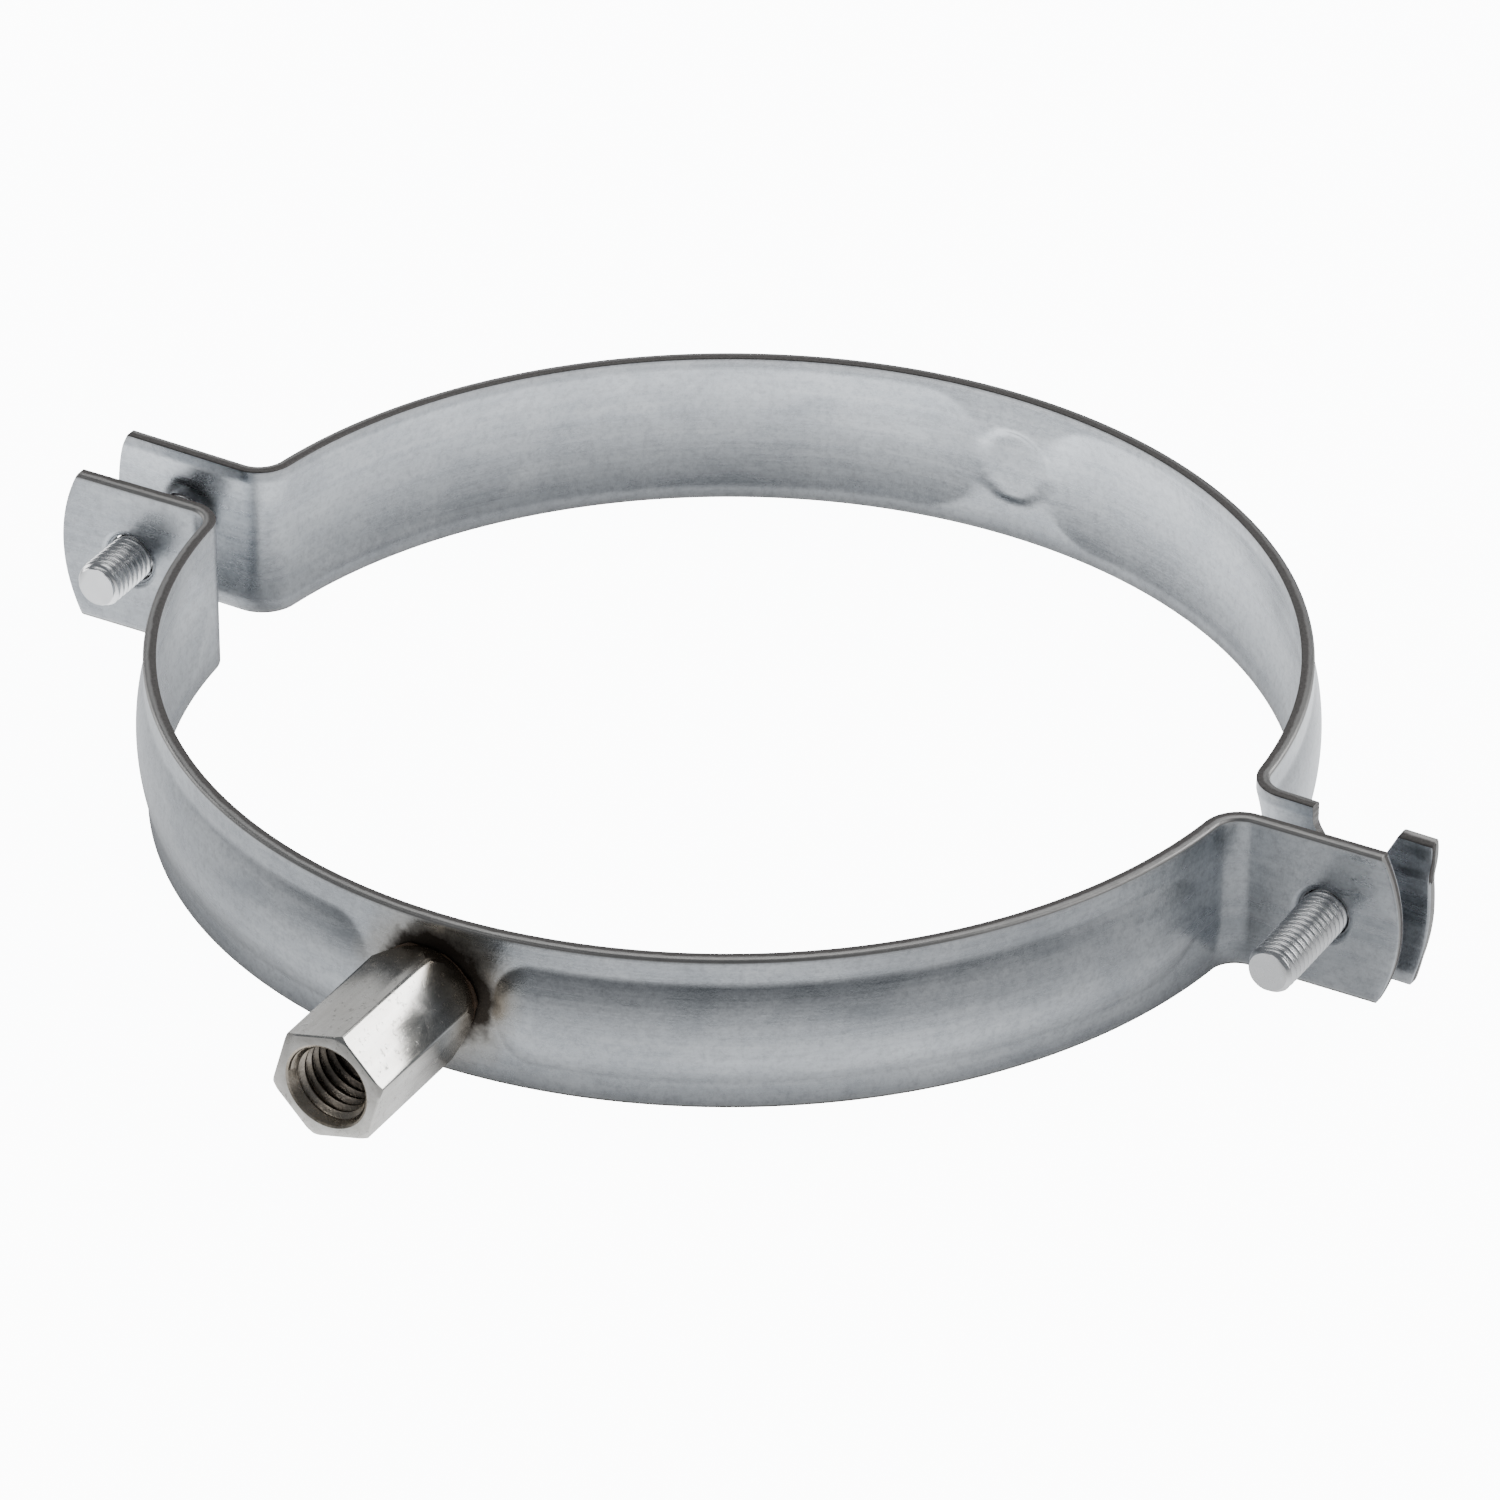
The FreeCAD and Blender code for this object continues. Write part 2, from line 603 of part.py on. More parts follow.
front = new_body("front_band")
strip(front, FRONT)
beads(front, FRONT)
rear = new_body("rear_band")
strip(rear, REAR)
beads(rear, REAR)
for across, side in ((RIGHT, "right"), (LEFT, "left")):
    end_cut(front, f"{side}_end", across)
    collar(front, side, across)
    end_cut(rear, f"{side}_end", across, slotted=(across == RIGHT))
rear_hole = new_sketch(rear, "hole_outline", "XZ_Plane")
add_circle(rear_hole, "-Sheet.screw_offset", f"{WIDE} / 2",
           f"{THREAD} + Sheet.hole_play")
pocket(rear, "hole", rear_hole, "Sheet.through", both=True)
slot(rear)
lip(rear)
dimple(rear)
rear.Placement = Placement(Vector(), Rotation(Vector(0, 0, 1), -size("rear_tilt")))


# ---------------------------------------------------------------- screws and retainers

def turn_down(body, name, profile):
    """Cut a profile turned about the body's own Z axis, checked to cut."""
    doc.recompute()
    before = body.Shape.Volume
    feature = body.newObject("PartDesign::Groove", name)
    feature.Profile = profile
    feature.ReferenceAxis = (profile, ["V_Axis"])
    feature.Angle = 360
    doc.recompute()
    if not feature.Shape.Volume < before - 1e-6:
        raise RuntimeError(f"{name} cuts nothing")


def turned_cut(body, name, corners):
    """Turn away the region through corners, each an (x, z) pair of texts."""
    cut = new_sketch(body, f"{name}_outline", "XZ_Plane")
    outline(cut, corners)
    turn_down(body, name, cut)


def along_y(x, y, turn=0.0, mouth=False):
    """Placement at the screw height with the piece's own +Z to the back, or to the front."""
    tip_over = Rotation(Vector(1, 0, 0), 90 if mouth else -90)
    spin = Rotation(Vector(0, 0, 1), turn)
    return Placement(Vector(x, y, size("strip_width") / 2), tip_over.multiply(spin))


def domed_head(body):
    """A pan head standing on z = 0: a straight rim under a dome."""
    section = new_sketch(body, "head_section", "XZ_Plane")
    edge = f"({THREAD} + Sheet.head_overhang)"
    rise = "(Sheet.head_height - Sheet.head_rim)"
    radius = f"(({edge} ^ 2 + {rise} ^ 2) / (2 * {rise}))"
    rim, top = value_of(section, edge), size("head_height")
    dome = value_of(section, radius)
    lean = math.asin(rim / dome)
    parts = [
        add_line(section, (0, 0), (rim, 0)),
        add_line(section, (rim, 0), (rim, size("head_rim"))),
        add_arc(section, (0, top - dome), dome, math.pi / 2 - lean, math.pi / 2),
        add_line(section, (0, top), (0, 0)),
    ]
    join(section, parts, "Coincident", closed=True)
    at_origin(section, parts[0][0], 1)
    section.addConstraint(Sketcher.Constraint("Horizontal", parts[0][0]))
    section.addConstraint(Sketcher.Constraint("Vertical", parts[1][0]))
    section.addConstraint(Sketcher.Constraint("Vertical", parts[3][0]))
    bind(section, "Radius", parts[2][0], radius)
    pin_point(section, parts[1][0], 2, edge, "Sheet.head_rim")
    pin_point(section, parts[3][0], 1, y="Sheet.head_height")
    head = body.newObject("PartDesign::Revolution", "head")
    head.Profile = section
    head.ReferenceAxis = (section, ["V_Axis"])
    head.Angle = 360
    doc.recompute()


def screw(label, x, seat_y):
    """A pan-head screw; its own z = 0 is under the head, the shank runs to -z."""
    body = new_body(label)
    domed_head(body)
    shank = new_sketch(body, "shank_outline", "XY_Plane")
    add_circle(shank, "0", "0", THREAD)
    pad(body, "shank", shank, "Sheet.screw_length", reverse=True)
    foot = "(0 - Sheet.screw_length)"
    turned_cut(body, "tip", [
        (f"{THREAD} - Sheet.tip_sink", foot),
        (f"{THREAD} + Sheet.cut_margin", foot),
        (f"{THREAD} + Sheet.cut_margin", f"{foot} + Sheet.tip_chamfer"),
        (THREAD, f"{foot} + Sheet.tip_chamfer"),
    ])
    half_span = "Sheet.recess_span / 2"
    half_slot = "Sheet.recess_width / 2"
    for number, (wide, high) in enumerate(((half_span, half_slot), (half_slot, half_span))):
        cross = new_sketch(body, f"recess_outline_{number}", "XY_Plane", z="Sheet.head_height")
        outline(cross, [(f"0 - {wide}", f"0 - {high}"), (wide, f"0 - {high}"),
                        (wide, high), (f"0 - {wide}", high)])
        pocket(body, f"recess_{number}", cross, "Sheet.recess_depth")
    body.Placement = along_y(x, seat_y)
    return body


def retainer(label, x, front_y):
    """The thin disc that keeps a screw in its ear."""
    body = new_body(label)
    face = new_sketch(body, "face", "XY_Plane")
    add_circle(face, "0", "0", f"{THREAD} + Sheet.retainer_overhang")
    add_circle(face, "0", "0", f"{THREAD} + Sheet.retainer_play")
    pad(body, "disc", face, "Sheet.retainer_gauge")
    body.Placement = along_y(x, front_y)
    return body


def behind_ear(across, depth):
    """Y at the screw of the rear ear's surface at the given depth, with the half tilted."""
    tilt = math.radians(size("rear_tilt"))
    level_y = size("ear_gap") / 2 + depth
    return (level_y - across * size("screw_offset") * math.sin(tilt)) / math.cos(tilt)


for across, side in ((LEFT, "left"), (RIGHT, "right")):
    place_x = across * size("screw_offset")
    disc_y = behind_ear(across, 0) - size("retainer_gap") - size("retainer_gauge")
    retainer(f"{side}_retainer", place_x, disc_y)
    # the ear leans, so its bead stands highest under one side of the head
    head_radius = size("thread_diameter") / 2 + size("head_overhang")
    lean = head_radius * math.tan(math.radians(size("rear_tilt")))
    bead_back = behind_ear(across, size("strip_gauge") + size("bead_rise"))
    seat_y = bead_back + lean + size(f"{side}_slack")
    screw(f"{side}_screw", place_x, seat_y)


# ---------------------------------------------------------------- connecting nut

def hexagon(body, name, across, offset):
    """A hexagon of the given width across flats, on the body's XY plane."""
    sketch = new_sketch(body, name, "XY_Plane", z=offset)
    corner = f"({across} / sqrt(3))"
    radius = value_of(sketch, corner)
    points = [(radius * math.cos(k * math.pi / 3), radius * math.sin(k * math.pi / 3))
              for k in range(6)]
    sides = [add_line(sketch, one, two) for one, two in zip(points, points[1:] + points[:1])]
    join(sketch, sides, "Coincident", closed=True)
    for number, (line, start, _) in enumerate(sides):
        if number % 3 == 0:
            pin_point(sketch, line, start, corner)
            sketch.addConstraint(Sketcher.Constraint("PointOnObject", line, start, -1))
        else:
            pin_point(sketch, line, start, f"{corner} / 2", f"{across} / 2")
    return sketch


def chamfer_cone(body, name, across, drop, face_z, step):
    """Turn down a hexagon's corners at the face at face_z, thirty degrees off the face."""
    corner = f"{across} / sqrt(3)"
    flank = f"({drop} + Sheet.cut_margin * tan(30 deg))"
    turned_cut(body, name, [
        (f"{corner} - {drop} / tan(30 deg)", face_z),
        (f"{corner} + Sheet.cut_margin", f"{face_z} + {step} * {flank}"),
        (f"{corner} + Sheet.cut_margin", face_z),
    ])


nut = new_body("connecting_nut")
hexagon_face = hexagon(nut, "hexagon", "Sheet.nut_across", "0")
pad(nut, "blank", hexagon_face, "Sheet.nut_length", reverse=True)
chamfer_cone(nut, "mouth_edge", "Sheet.nut_across", "Sheet.nut_chamfer", "0", -1)
chamfer_cone(nut, "foot_edge", "Sheet.nut_across", "Sheet.nut_foot_chamfer",
             "(0 - Sheet.nut_length)", 1)
narrow = "Sheet.narrow_bore / 2"
broad = "Sheet.wide_bore / 2"
turned_cut(nut, "bore", [
    ("0", "(0 - Sheet.nut_length)"),
    (narrow, "(0 - Sheet.nut_length)"),
    (narrow, "(0 - Sheet.wide_depth)"),
    (broad, "(0 - Sheet.wide_depth)"),
    (broad, "(0 - Sheet.mouth_sink)"),
    (f"{broad} + Sheet.mouth_sink", "0"),
    ("0", "0"),
])
outside = size("ring_radius") + size("strip_gauge")
foot_y = -(outside + size("weld_gap"))
nut.Placement = along_y(0, foot_y - size("nut_length"), size("nut_turn"), mouth=True)

# the weld is a disc under the nut, hollowed to the strip's outside
disc = doc.addObject("Part::Cylinder", "weld_disc")
disc.setExpression("Radius", "Sheet.weld_diameter / 2")
disc.setExpression("Height", "Sheet.strip_gauge")
disc.Placement = along_y(0, foot_y)
core = doc.addObject("Part::Cylinder", "weld_hollow")
core.setExpression("Radius", OUTSIDE)
core.setExpression("Height", WIDE)
weld = doc.addObject("Part::Cut", "nut_weld")
weld.Label = "nut_weld"
weld.Base = disc
weld.Tool = core
doc.recompute()


# ---------------------------------------------------------------- checks and files

NODES = ("front_band", "connecting_nut", "nut_weld", "rear_band",
         "left_retainer", "left_screw", "right_retainer", "right_screw")

broken = [item.Name for item in doc.Objects if "Invalid" in item.State or "Error" in item.State]
if broken:
    raise RuntimeError(f"failed features: {broken}")
os.makedirs("parts", exist_ok=True)
pieces = {}
for label in NODES:
    shape = doc.getObjectsByLabel(label)[0].Shape
    if shape.isNull() or not shape.isValid() or len(shape.Solids) != 1:
        raise RuntimeError(f"{label} is not one valid solid")
    pieces[label] = shape
for label, shape in pieces.items():
    shape.exportStep(f"parts/{label}.step")
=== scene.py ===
import math

import bmesh
import bpy
from mathutils import Matrix, Vector


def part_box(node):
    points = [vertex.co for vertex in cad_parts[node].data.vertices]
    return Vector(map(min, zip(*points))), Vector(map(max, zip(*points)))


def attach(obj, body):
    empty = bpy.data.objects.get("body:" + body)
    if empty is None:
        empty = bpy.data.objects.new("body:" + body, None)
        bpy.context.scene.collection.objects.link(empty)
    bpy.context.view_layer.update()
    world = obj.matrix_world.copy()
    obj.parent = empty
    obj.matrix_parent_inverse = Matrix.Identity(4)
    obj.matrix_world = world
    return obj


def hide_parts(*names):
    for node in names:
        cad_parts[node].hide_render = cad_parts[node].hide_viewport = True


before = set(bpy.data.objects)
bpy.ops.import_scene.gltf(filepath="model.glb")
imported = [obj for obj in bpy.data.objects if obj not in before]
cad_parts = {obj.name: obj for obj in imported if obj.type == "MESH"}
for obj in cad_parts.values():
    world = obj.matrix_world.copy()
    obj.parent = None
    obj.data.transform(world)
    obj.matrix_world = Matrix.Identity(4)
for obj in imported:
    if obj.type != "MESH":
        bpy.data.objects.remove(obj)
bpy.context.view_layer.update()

# Sizes are in millimetres, as in the CAD model; each mesh is brought to metres as it is made.
MM = 0.001
FRONT, REAR = -1, 1

# strip and ring
WIDTH = 20.0
GAUGE = 1.6
RING = 67.5 + GAUGE / 2             # radius of the strip's middle line
REAR_TILT = 1.8                     # degrees the rear half leans
OUTER_ROUND = 0.42                  # rolled-over edge outside
INNER_ROUND = 0.16
END_ROUND = 0.3
FACE_ROWS = 58                      # rows of faces across the strip's width

# ears
LEVEL = 3.4 + GAUGE / 2             # an ear's middle line, from the parting plane
BEND = 3.2 + GAUGE / 2
SCREW_X, SCREW_Z = 81.0, WIDTH / 2
EAR_FACE = -LEVEL - GAUGE / 2       # y of a front ear's front face
EAR_TAIL, EAR_BULGE = 7.2, 2.4      # screw to the end's corners, and the end's bulge
SLOTTED_TAIL, SLOTTED_BULGE = 8.9, 1.4
END_X = SCREW_X + SLOTTED_TAIL + SLOTTED_BULGE

# bead, the pads that interrupt it and the rear pad's press mark
BEAD_RISE = 1.1
BEAD_WIDTH = 13.4                   # outside; the trough inside is wider
TROUGH_WIDTH = 16.8
CREASE = 0.022                      # softness of the line where the bead starts
PAD_HALF = 13.0
PAD_FADE, REAR_PAD_FADE = 5.5, 10.0
EAR_FADE = 12.0
FADE_SINK = 1.3
DEEPEST_SINK = 6.0
DIMPLE_RADIUS = 4.8
DIMPLE_DEPTH = 0.35
DIMPLE_BLEND = 0.9

# lock slot and the lip beside it
SLOT_HALF, MOUTH_INNER, MOUTH_OUTER = 3.3, 4.6, 5.8
SLOT_STRAIGHT, MOUTH_START = 4.0, 7.5   # above the screw's axis
LIP_FOOT = 13.98                    # height where the lip leaves the ear
LIP_SLANT = 0.52                    # how far its inner side leans out for each mm of height
LIP_BEND, LIP_BACK_BEND = 4.77, 2.5
LIP_CENTRE = (0.891, 17.444)        # y and z of the forward curl's centre
LIP_ROUND = 0.28

# holes, screws and retainers
BORE = 3.02
REAR_HOLE = 3.25
THREAD_CORE, THREAD_CREST, THREAD_PITCH = 2.36, 2.94, 1.0
HEAD_RADIUS, HEAD_RIM, HEAD_HEIGHT = 4.3, 0.8, 2.6
RECESS_HALF, RECESS_ARM, RECESS_DEPTH = 2.5, 0.65, 1.7
DISC_BORE, DISC_RADIUS, DISC_ROUND = 3.0, 3.9, 0.15

# connecting nut: half its width across flats, its turn, its two threads as (core, crest, pitch)
NUT_FLAT = 6.5
NUT_CORNER = NUT_FLAT / math.cos(math.pi / 6)
NUT_TURN = 13.7                     # degrees
WIDE_THREAD = (4.25, 4.98, 1.5)
NARROW_THREAD = (3.4, 3.98, 1.25)
WIDE_DEPTH = 10.5
TAP_LENGTH = 13.0

BEND_Y = LEVEL + BEND
BEND_X = math.sqrt((RING + BEND) ** 2 - BEND_Y ** 2)
BEND_ANGLE = math.atan2(BEND_Y, BEND_X)
RING_RUN = RING * (math.pi / 2 - BEND_ANGLE)
BEND_RUN = BEND * (math.pi / 2 - BEND_ANGLE)
FULL_RUN = RING_RUN + BEND_RUN + END_X - BEND_X
PAD_RUN = RING * math.asin(PAD_HALF / RING)
OUT_RUN = RING * (math.pi / 2 - math.asin((BEND_Y + EAR_FADE) / RING))



# ---------------------------------------------------------------- node helpers

def add_node(tree, kind, inputs=None, **settings):
    item = tree.nodes.new(kind)
    for key, value in settings.items():
        setattr(item, key, value)
    for key, value in (inputs or {}).items():
        if isinstance(value, bpy.types.NodeSocket):
            tree.links.new(value, item.inputs[key])
        else:
            item.inputs[key].default_value = value
    return item


def calc(tree, operation, *values, clamp=False):
    item = add_node(tree, "ShaderNodeMath", dict(enumerate(values)), operation=operation)
    item.use_clamp = clamp
    return item.outputs[0]


def remap(tree, value, low, high, to_low=0.0, to_high=1.0):
    item = add_node(tree, "ShaderNodeMapRange", {
        "Value": value, "From Min": low, "From Max": high,
        "To Min": to_low, "To Max": to_high})
    return item.outputs[0]


def noise(tree, vector, scale, detail, roughness, distortion=0.0):
    item = add_node(tree, "ShaderNodeTexNoise", {
        "Vector": vector, "Scale": scale, "Detail": detail,
        "Roughness": roughness, "Distortion": distortion})
    return item.outputs[0]


def blend(tree, factor, one, two):
    return add_node(tree, "ShaderNodeMix", {0: factor, 6: one, 7: two}, data_type="RGBA").outputs[2]


def length_of(tree, one, two):
    """Length of the plane vector with these two parts."""
    return calc(tree, "SQRT", calc(tree, "ADD", calc(tree, "MULTIPLY", one, one),
                                   calc(tree, "MULTIPLY", two, two)))


def new_group(name, inputs, outputs):
    """An empty shader node group and its two end nodes."""
    tree = bpy.data.node_groups.new(name, "ShaderNodeTree")
    for label, kind in inputs:
        tree.interface.new_socket(label, in_out="INPUT", socket_type=kind)
    for label in outputs:
        tree.interface.new_socket(label, in_out="OUTPUT", socket_type="NodeSocketFloat")
    return tree, tree.nodes.new("NodeGroupInput").outputs, tree.nodes.new("NodeGroupOutput")


def use_group(tree, group, inputs):
    item = tree.nodes.new("ShaderNodeGroup")
    item.node_tree = group
    for key, value in inputs.items():
        if isinstance(value, bpy.types.NodeSocket):
            tree.links.new(value, item.inputs[key])
        else:
            item.inputs[key].default_value = value
    return item.outputs


# ---------------------------------------------------------------- effects shared by finishes

def zinc_bloom_group():
    """Cloudy patches, drawn-out rolling streaks and fine grain of a zinc coat."""
    tree, given, result = new_group(
        "zinc_bloom",
        (("Vector", "NodeSocketVector"), ("Patch Scale", "NodeSocketFloat"),
         ("Streak Scale", "NodeSocketVector"), ("Grain Scale", "NodeSocketFloat")),
        ("Patch", "Streak", "Grain"))
    patch = noise(tree, given["Vector"], given["Patch Scale"], 5.0, 0.62, 0.6)
    drawn = add_node(tree, "ShaderNodeVectorMath",
                     {0: given["Vector"], 1: given["Streak Scale"]}, operation="MULTIPLY")
    streak = noise(tree, drawn.outputs[0], 1.0, 4.0, 0.6)
    grain = noise(tree, given["Vector"], given["Grain Scale"], 2.0, 0.6)
    tree.links.new(remap(tree, patch, 0.32, 0.68), result.inputs["Patch"])
    tree.links.new(remap(tree, streak, 0.3, 0.7), result.inputs["Streak"])
    tree.links.new(remap(tree, grain, 0.25, 0.75), result.inputs["Grain"])
    return tree


def weld_heat_group():
    """Dark burn and heat tint round the welded foot of the nut, by distance from a point a little right of
    and above its axis; the dark burn is partly painted shade beside the nut.
    """
    tree, given, result = new_group(
        "weld_heat", (("Vector", "NodeSocketVector"), ("Reach", "NodeSocketFloat")),
        ("Scorch And Shade", "Tint"))
    place = add_node(tree, "ShaderNodeSeparateXYZ", {0: given["Vector"]}).outputs
    # the centre sits a little right of and above the axis, so the dark burn also paints shade beside the
    # nut
    up = calc(tree, "SUBTRACT", place["Z"], (SCREW_Z + 0.9) * MM)
    across = calc(tree, "SUBTRACT", place["X"], 1.0 * MM)
    far = length_of(tree, across, up)
    ragged = noise(tree, given["Vector"], 330.0, 4.0, 0.6)
    far = calc(tree, "ADD", far, calc(tree, "MULTIPLY", calc(tree, "SUBTRACT", ragged, 0.5), 0.0045))
    through = length_of(tree, place["X"], place["Y"])
    front = calc(tree, "MULTIPLY", remap(tree, place["Y"], -0.05, -0.06),
                 remap(tree, through, 0.0680, 0.0689, 0.22, 1.0))
    foot = remap(tree, place["Y"], -0.0765, -0.0725)
    both = calc(tree, "MULTIPLY", front, foot)
    edge = given["Reach"]
    scorch_and_shade = remap(tree, far, edge, 0.0064)
    tint = remap(tree, far, calc(tree, "MULTIPLY", edge, 1.40), 0.0078)
    tree.links.new(calc(tree, "MULTIPLY", scorch_and_shade, both), result.inputs["Scorch And Shade"])
    tree.links.new(calc(tree, "MULTIPLY", tint, both), result.inputs["Tint"])
    return tree


ZINC_BLOOM = zinc_bloom_group()
WELD_HEAT = weld_heat_group()


# ---------------------------------------------------------------- finishes

def new_finish(name, metallic):
    material = bpy.data.materials.new(name)
    material.use_nodes = True
    tree = material.node_tree
    shader = tree.nodes["Principled BSDF"]
    shader.inputs["Metallic"].default_value = metallic
    return material, tree, shader


def finish_surface(tree, shader, colour, roughness, height, depth):
    tree.links.new(colour, shader.inputs["Base Color"])
    tree.links.new(roughness, shader.inputs["Roughness"])
    bump = add_node(tree, "ShaderNodeBump", {"Height": height, "Distance": depth, "Strength": 1.0})
    tree.links.new(bump.outputs[0], shader.inputs["Normal"])


def strip_zinc():
    """The rolled, zinc-plated faces of the strip."""
    material, tree, shader = new_finish("strip_zinc", 1.0)
    along = add_node(tree, "ShaderNodeUVMap", uv_map="strip").outputs[0]
    place = add_node(tree, "ShaderNodeTexCoord").outputs["Object"]
    bloom = use_group(tree, ZINC_BLOOM, {
        "Vector": along, "Patch Scale": 95.0, "Streak Scale": (28.0, 620.0, 1.0),
        "Grain Scale": 2600.0})
    speckle = noise(tree, place, 1100.0, 5.0, 0.75)
    # the plating is milkier along the cut edges
    high = add_node(tree, "ShaderNodeSeparateXYZ", {0: along}).outputs["Y"]
    off_middle = calc(tree, "ABSOLUTE", calc(tree, "SUBTRACT", high, WIDTH / 2 * MM))
    border = remap(tree, off_middle, 0.0088, 0.0098)
    tone = calc(tree, "ADD", calc(tree, "MULTIPLY", bloom["Patch"], 0.55),
                calc(tree, "MULTIPLY", bloom["Streak"], 0.45))
    colour = blend(tree, tone, (0.36, 0.385, 0.415, 1), (0.66, 0.685, 0.71, 1))
    colour = blend(tree, calc(tree, "MULTIPLY", border, 0.35), colour, (0.62, 0.61, 0.60, 1))
    dust = remap(tree, speckle, 0.45, 0.70)
    colour = blend(tree, calc(tree, "MULTIPLY", dust, 0.45), colour, (0.25, 0.26, 0.28, 1))
    heat = use_group(tree, WELD_HEAT, {"Vector": place, "Reach": 0.0082})
    colour = blend(tree, calc(tree, "MULTIPLY", heat["Tint"], 0.5), colour, (0.34, 0.30, 0.24, 1))
    # near-black burn round the nut's foot: weld burn, and partly painted shade beside the nut
    colour = blend(tree, calc(tree, "MULTIPLY", heat["Scorch And Shade"], 0.93), colour,
                   (0.030, 0.022, 0.016, 1))
    rough = calc(tree, "ADD", 0.20, calc(tree, "MULTIPLY", bloom["Streak"], 0.10))
    rough = calc(tree, "ADD", rough, calc(tree, "MULTIPLY", bloom["Patch"], 0.08))
    rough = calc(tree, "ADD", rough, calc(tree, "MULTIPLY", heat["Scorch And Shade"], 0.25))
    height = calc(tree, "ADD", calc(tree, "MULTIPLY", bloom["Streak"], 0.6),
                  calc(tree, "MULTIPLY", bloom["Grain"], 0.5))
    finish_surface(tree, shader, colour, rough, height, 0.000018)
    return material


def sheared_edge():
    """The strip's cut edges: burnished near the outside, torn and dark near the inside."""
    material, tree, shader = new_finish("sheared_edge", 0.75)
    along = add_node(tree, "ShaderNodeUVMap", uv_map="strip").outputs[0]
    place = add_node(tree, "ShaderNodeTexCoord").outputs["Object"]
    depth = add_node(tree, "ShaderNodeSeparateXYZ", {0: along}).outputs["Y"]
    ragged = noise(tree, place, 420.0, 4.0, 0.65)
    depth = calc(tree, "ADD", depth, calc(tree, "MULTIPLY", calc(tree, "SUBTRACT", ragged, 0.5), 0.35))
    torn = remap(tree, depth, 0.38, 0.55)
    grit = noise(tree, place, 2400.0, 3.0, 0.7)
    bright = blend(tree, ragged, (0.26, 0.255, 0.25, 1), (0.42, 0.415, 0.405, 1))
    dark = blend(tree, grit, (0.070, 0.066, 0.064, 1), (0.20, 0.19, 0.185, 1))
    colour = blend(tree, torn, bright, dark)
    rough = remap(tree, torn, 0.0, 1.0, 0.42, 0.64)
    height = calc(tree, "MULTIPLY", grit, calc(tree, "ADD", torn, 0.25))
    finish_surface(tree, shader, colour, rough, height, 0.00004)
    return material


def punched_wall():
    """Walls of punched holes, slots and collars; their dark tone is partly the cut wall's own and partly
    painted shade down the holes.
    """
    material, tree, shader = new_finish("punched_wall", 0.85)
    place = add_node(tree, "ShaderNodeTexCoord").outputs["Object"]
    bloom = use_group(tree, ZINC_BLOOM, {
        "Vector": place, "Patch Scale": 240.0, "Streak Scale": (1400.0, 120.0, 1400.0),
        "Grain Scale": 3000.0})
    colour = blend(tree, bloom["Streak"], (0.11, 0.10, 0.095, 1), (0.38, 0.375, 0.37, 1))
    rough = remap(tree, bloom["Patch"], 0.0, 1.0, 0.40, 0.58)
    finish_surface(tree, shader, colour, rough, bloom["Grain"], 0.00002)
    return material


def nut_plating():
    """Semi-bright, slightly warm plating with pits and drawn marks along the hexagon bar."""
    material, tree, shader = new_finish("nut_plating", 1.0)
    place = add_node(tree, "ShaderNodeTexCoord").outputs["Object"]
    bloom = use_group(tree, ZINC_BLOOM, {
        "Vector": place, "Patch Scale": 210.0, "Streak Scale": (900.0, 90.0, 900.0),
        "Grain Scale": 1900.0})
    pits = remap(tree, noise(tree, place, 1100.0, 3.0, 0.7), 0.58, 0.72)
    tone = calc(tree, "ADD", calc(tree, "MULTIPLY", bloom["Patch"], 0.5),
                calc(tree, "MULTIPLY", bloom["Streak"], 0.5))
    colour = blend(tree, tone, (0.58, 0.56, 0.52, 1), (0.84, 0.825, 0.79, 1))
    colour = blend(tree, calc(tree, "MULTIPLY", pits, 0.45), colour, (0.27, 0.26, 0.24, 1))
    heat = use_group(tree, WELD_HEAT, {"Vector": place, "Reach": 0.0098})
    colour = blend(tree, calc(tree, "MULTIPLY", heat["Tint"], 0.6), colour, (0.36, 0.27, 0.17, 1))
    rough = calc(tree, "ADD", 0.15, calc(tree, "MULTIPLY", bloom["Patch"], 0.12))
    rough = calc(tree, "ADD", rough, calc(tree, "MULTIPLY", pits, 0.2))
    height = calc(tree, "SUBTRACT", calc(tree, "MULTIPLY", bloom["Streak"], 0.35),
                  calc(tree, "MULTIPLY", pits, 0.25))
    finish_surface(tree, shader, colour, rough, height, 0.000014)
    return material


def nut_thread():
    """Cut thread inside the nut: bare, oily and warm in tone, darkened deeper inside by painted shade."""
    material, tree, shader = new_finish("nut_thread", 1.0)
    place = add_node(tree, "ShaderNodeTexCoord").outputs["Object"]
    bloom = use_group(tree, ZINC_BLOOM, {
        "Vector": place, "Patch Scale": 260.0, "Streak Scale": (500.0, 1500.0, 500.0),
        "Grain Scale": 2600.0})
    deep = add_node(tree, "ShaderNodeSeparateXYZ", {0: place}).outputs["Y"]
    # painted shade: the thread darkens towards near black deeper inside the nut
    painted_shade_inside = remap(tree, deep, -0.0915, -0.0800)
    colour = blend(tree, bloom["Patch"], (0.40, 0.35, 0.28, 1), (0.66, 0.60, 0.52, 1))
    colour = blend(tree, calc(tree, "MULTIPLY", painted_shade_inside, 0.9), colour, (0.07, 0.05, 0.04, 1))
    rough = remap(tree, bloom["Streak"], 0.0, 1.0, 0.22, 0.4)
    finish_surface(tree, shader, colour, rough, bloom["Grain"], 0.00002)
    return material


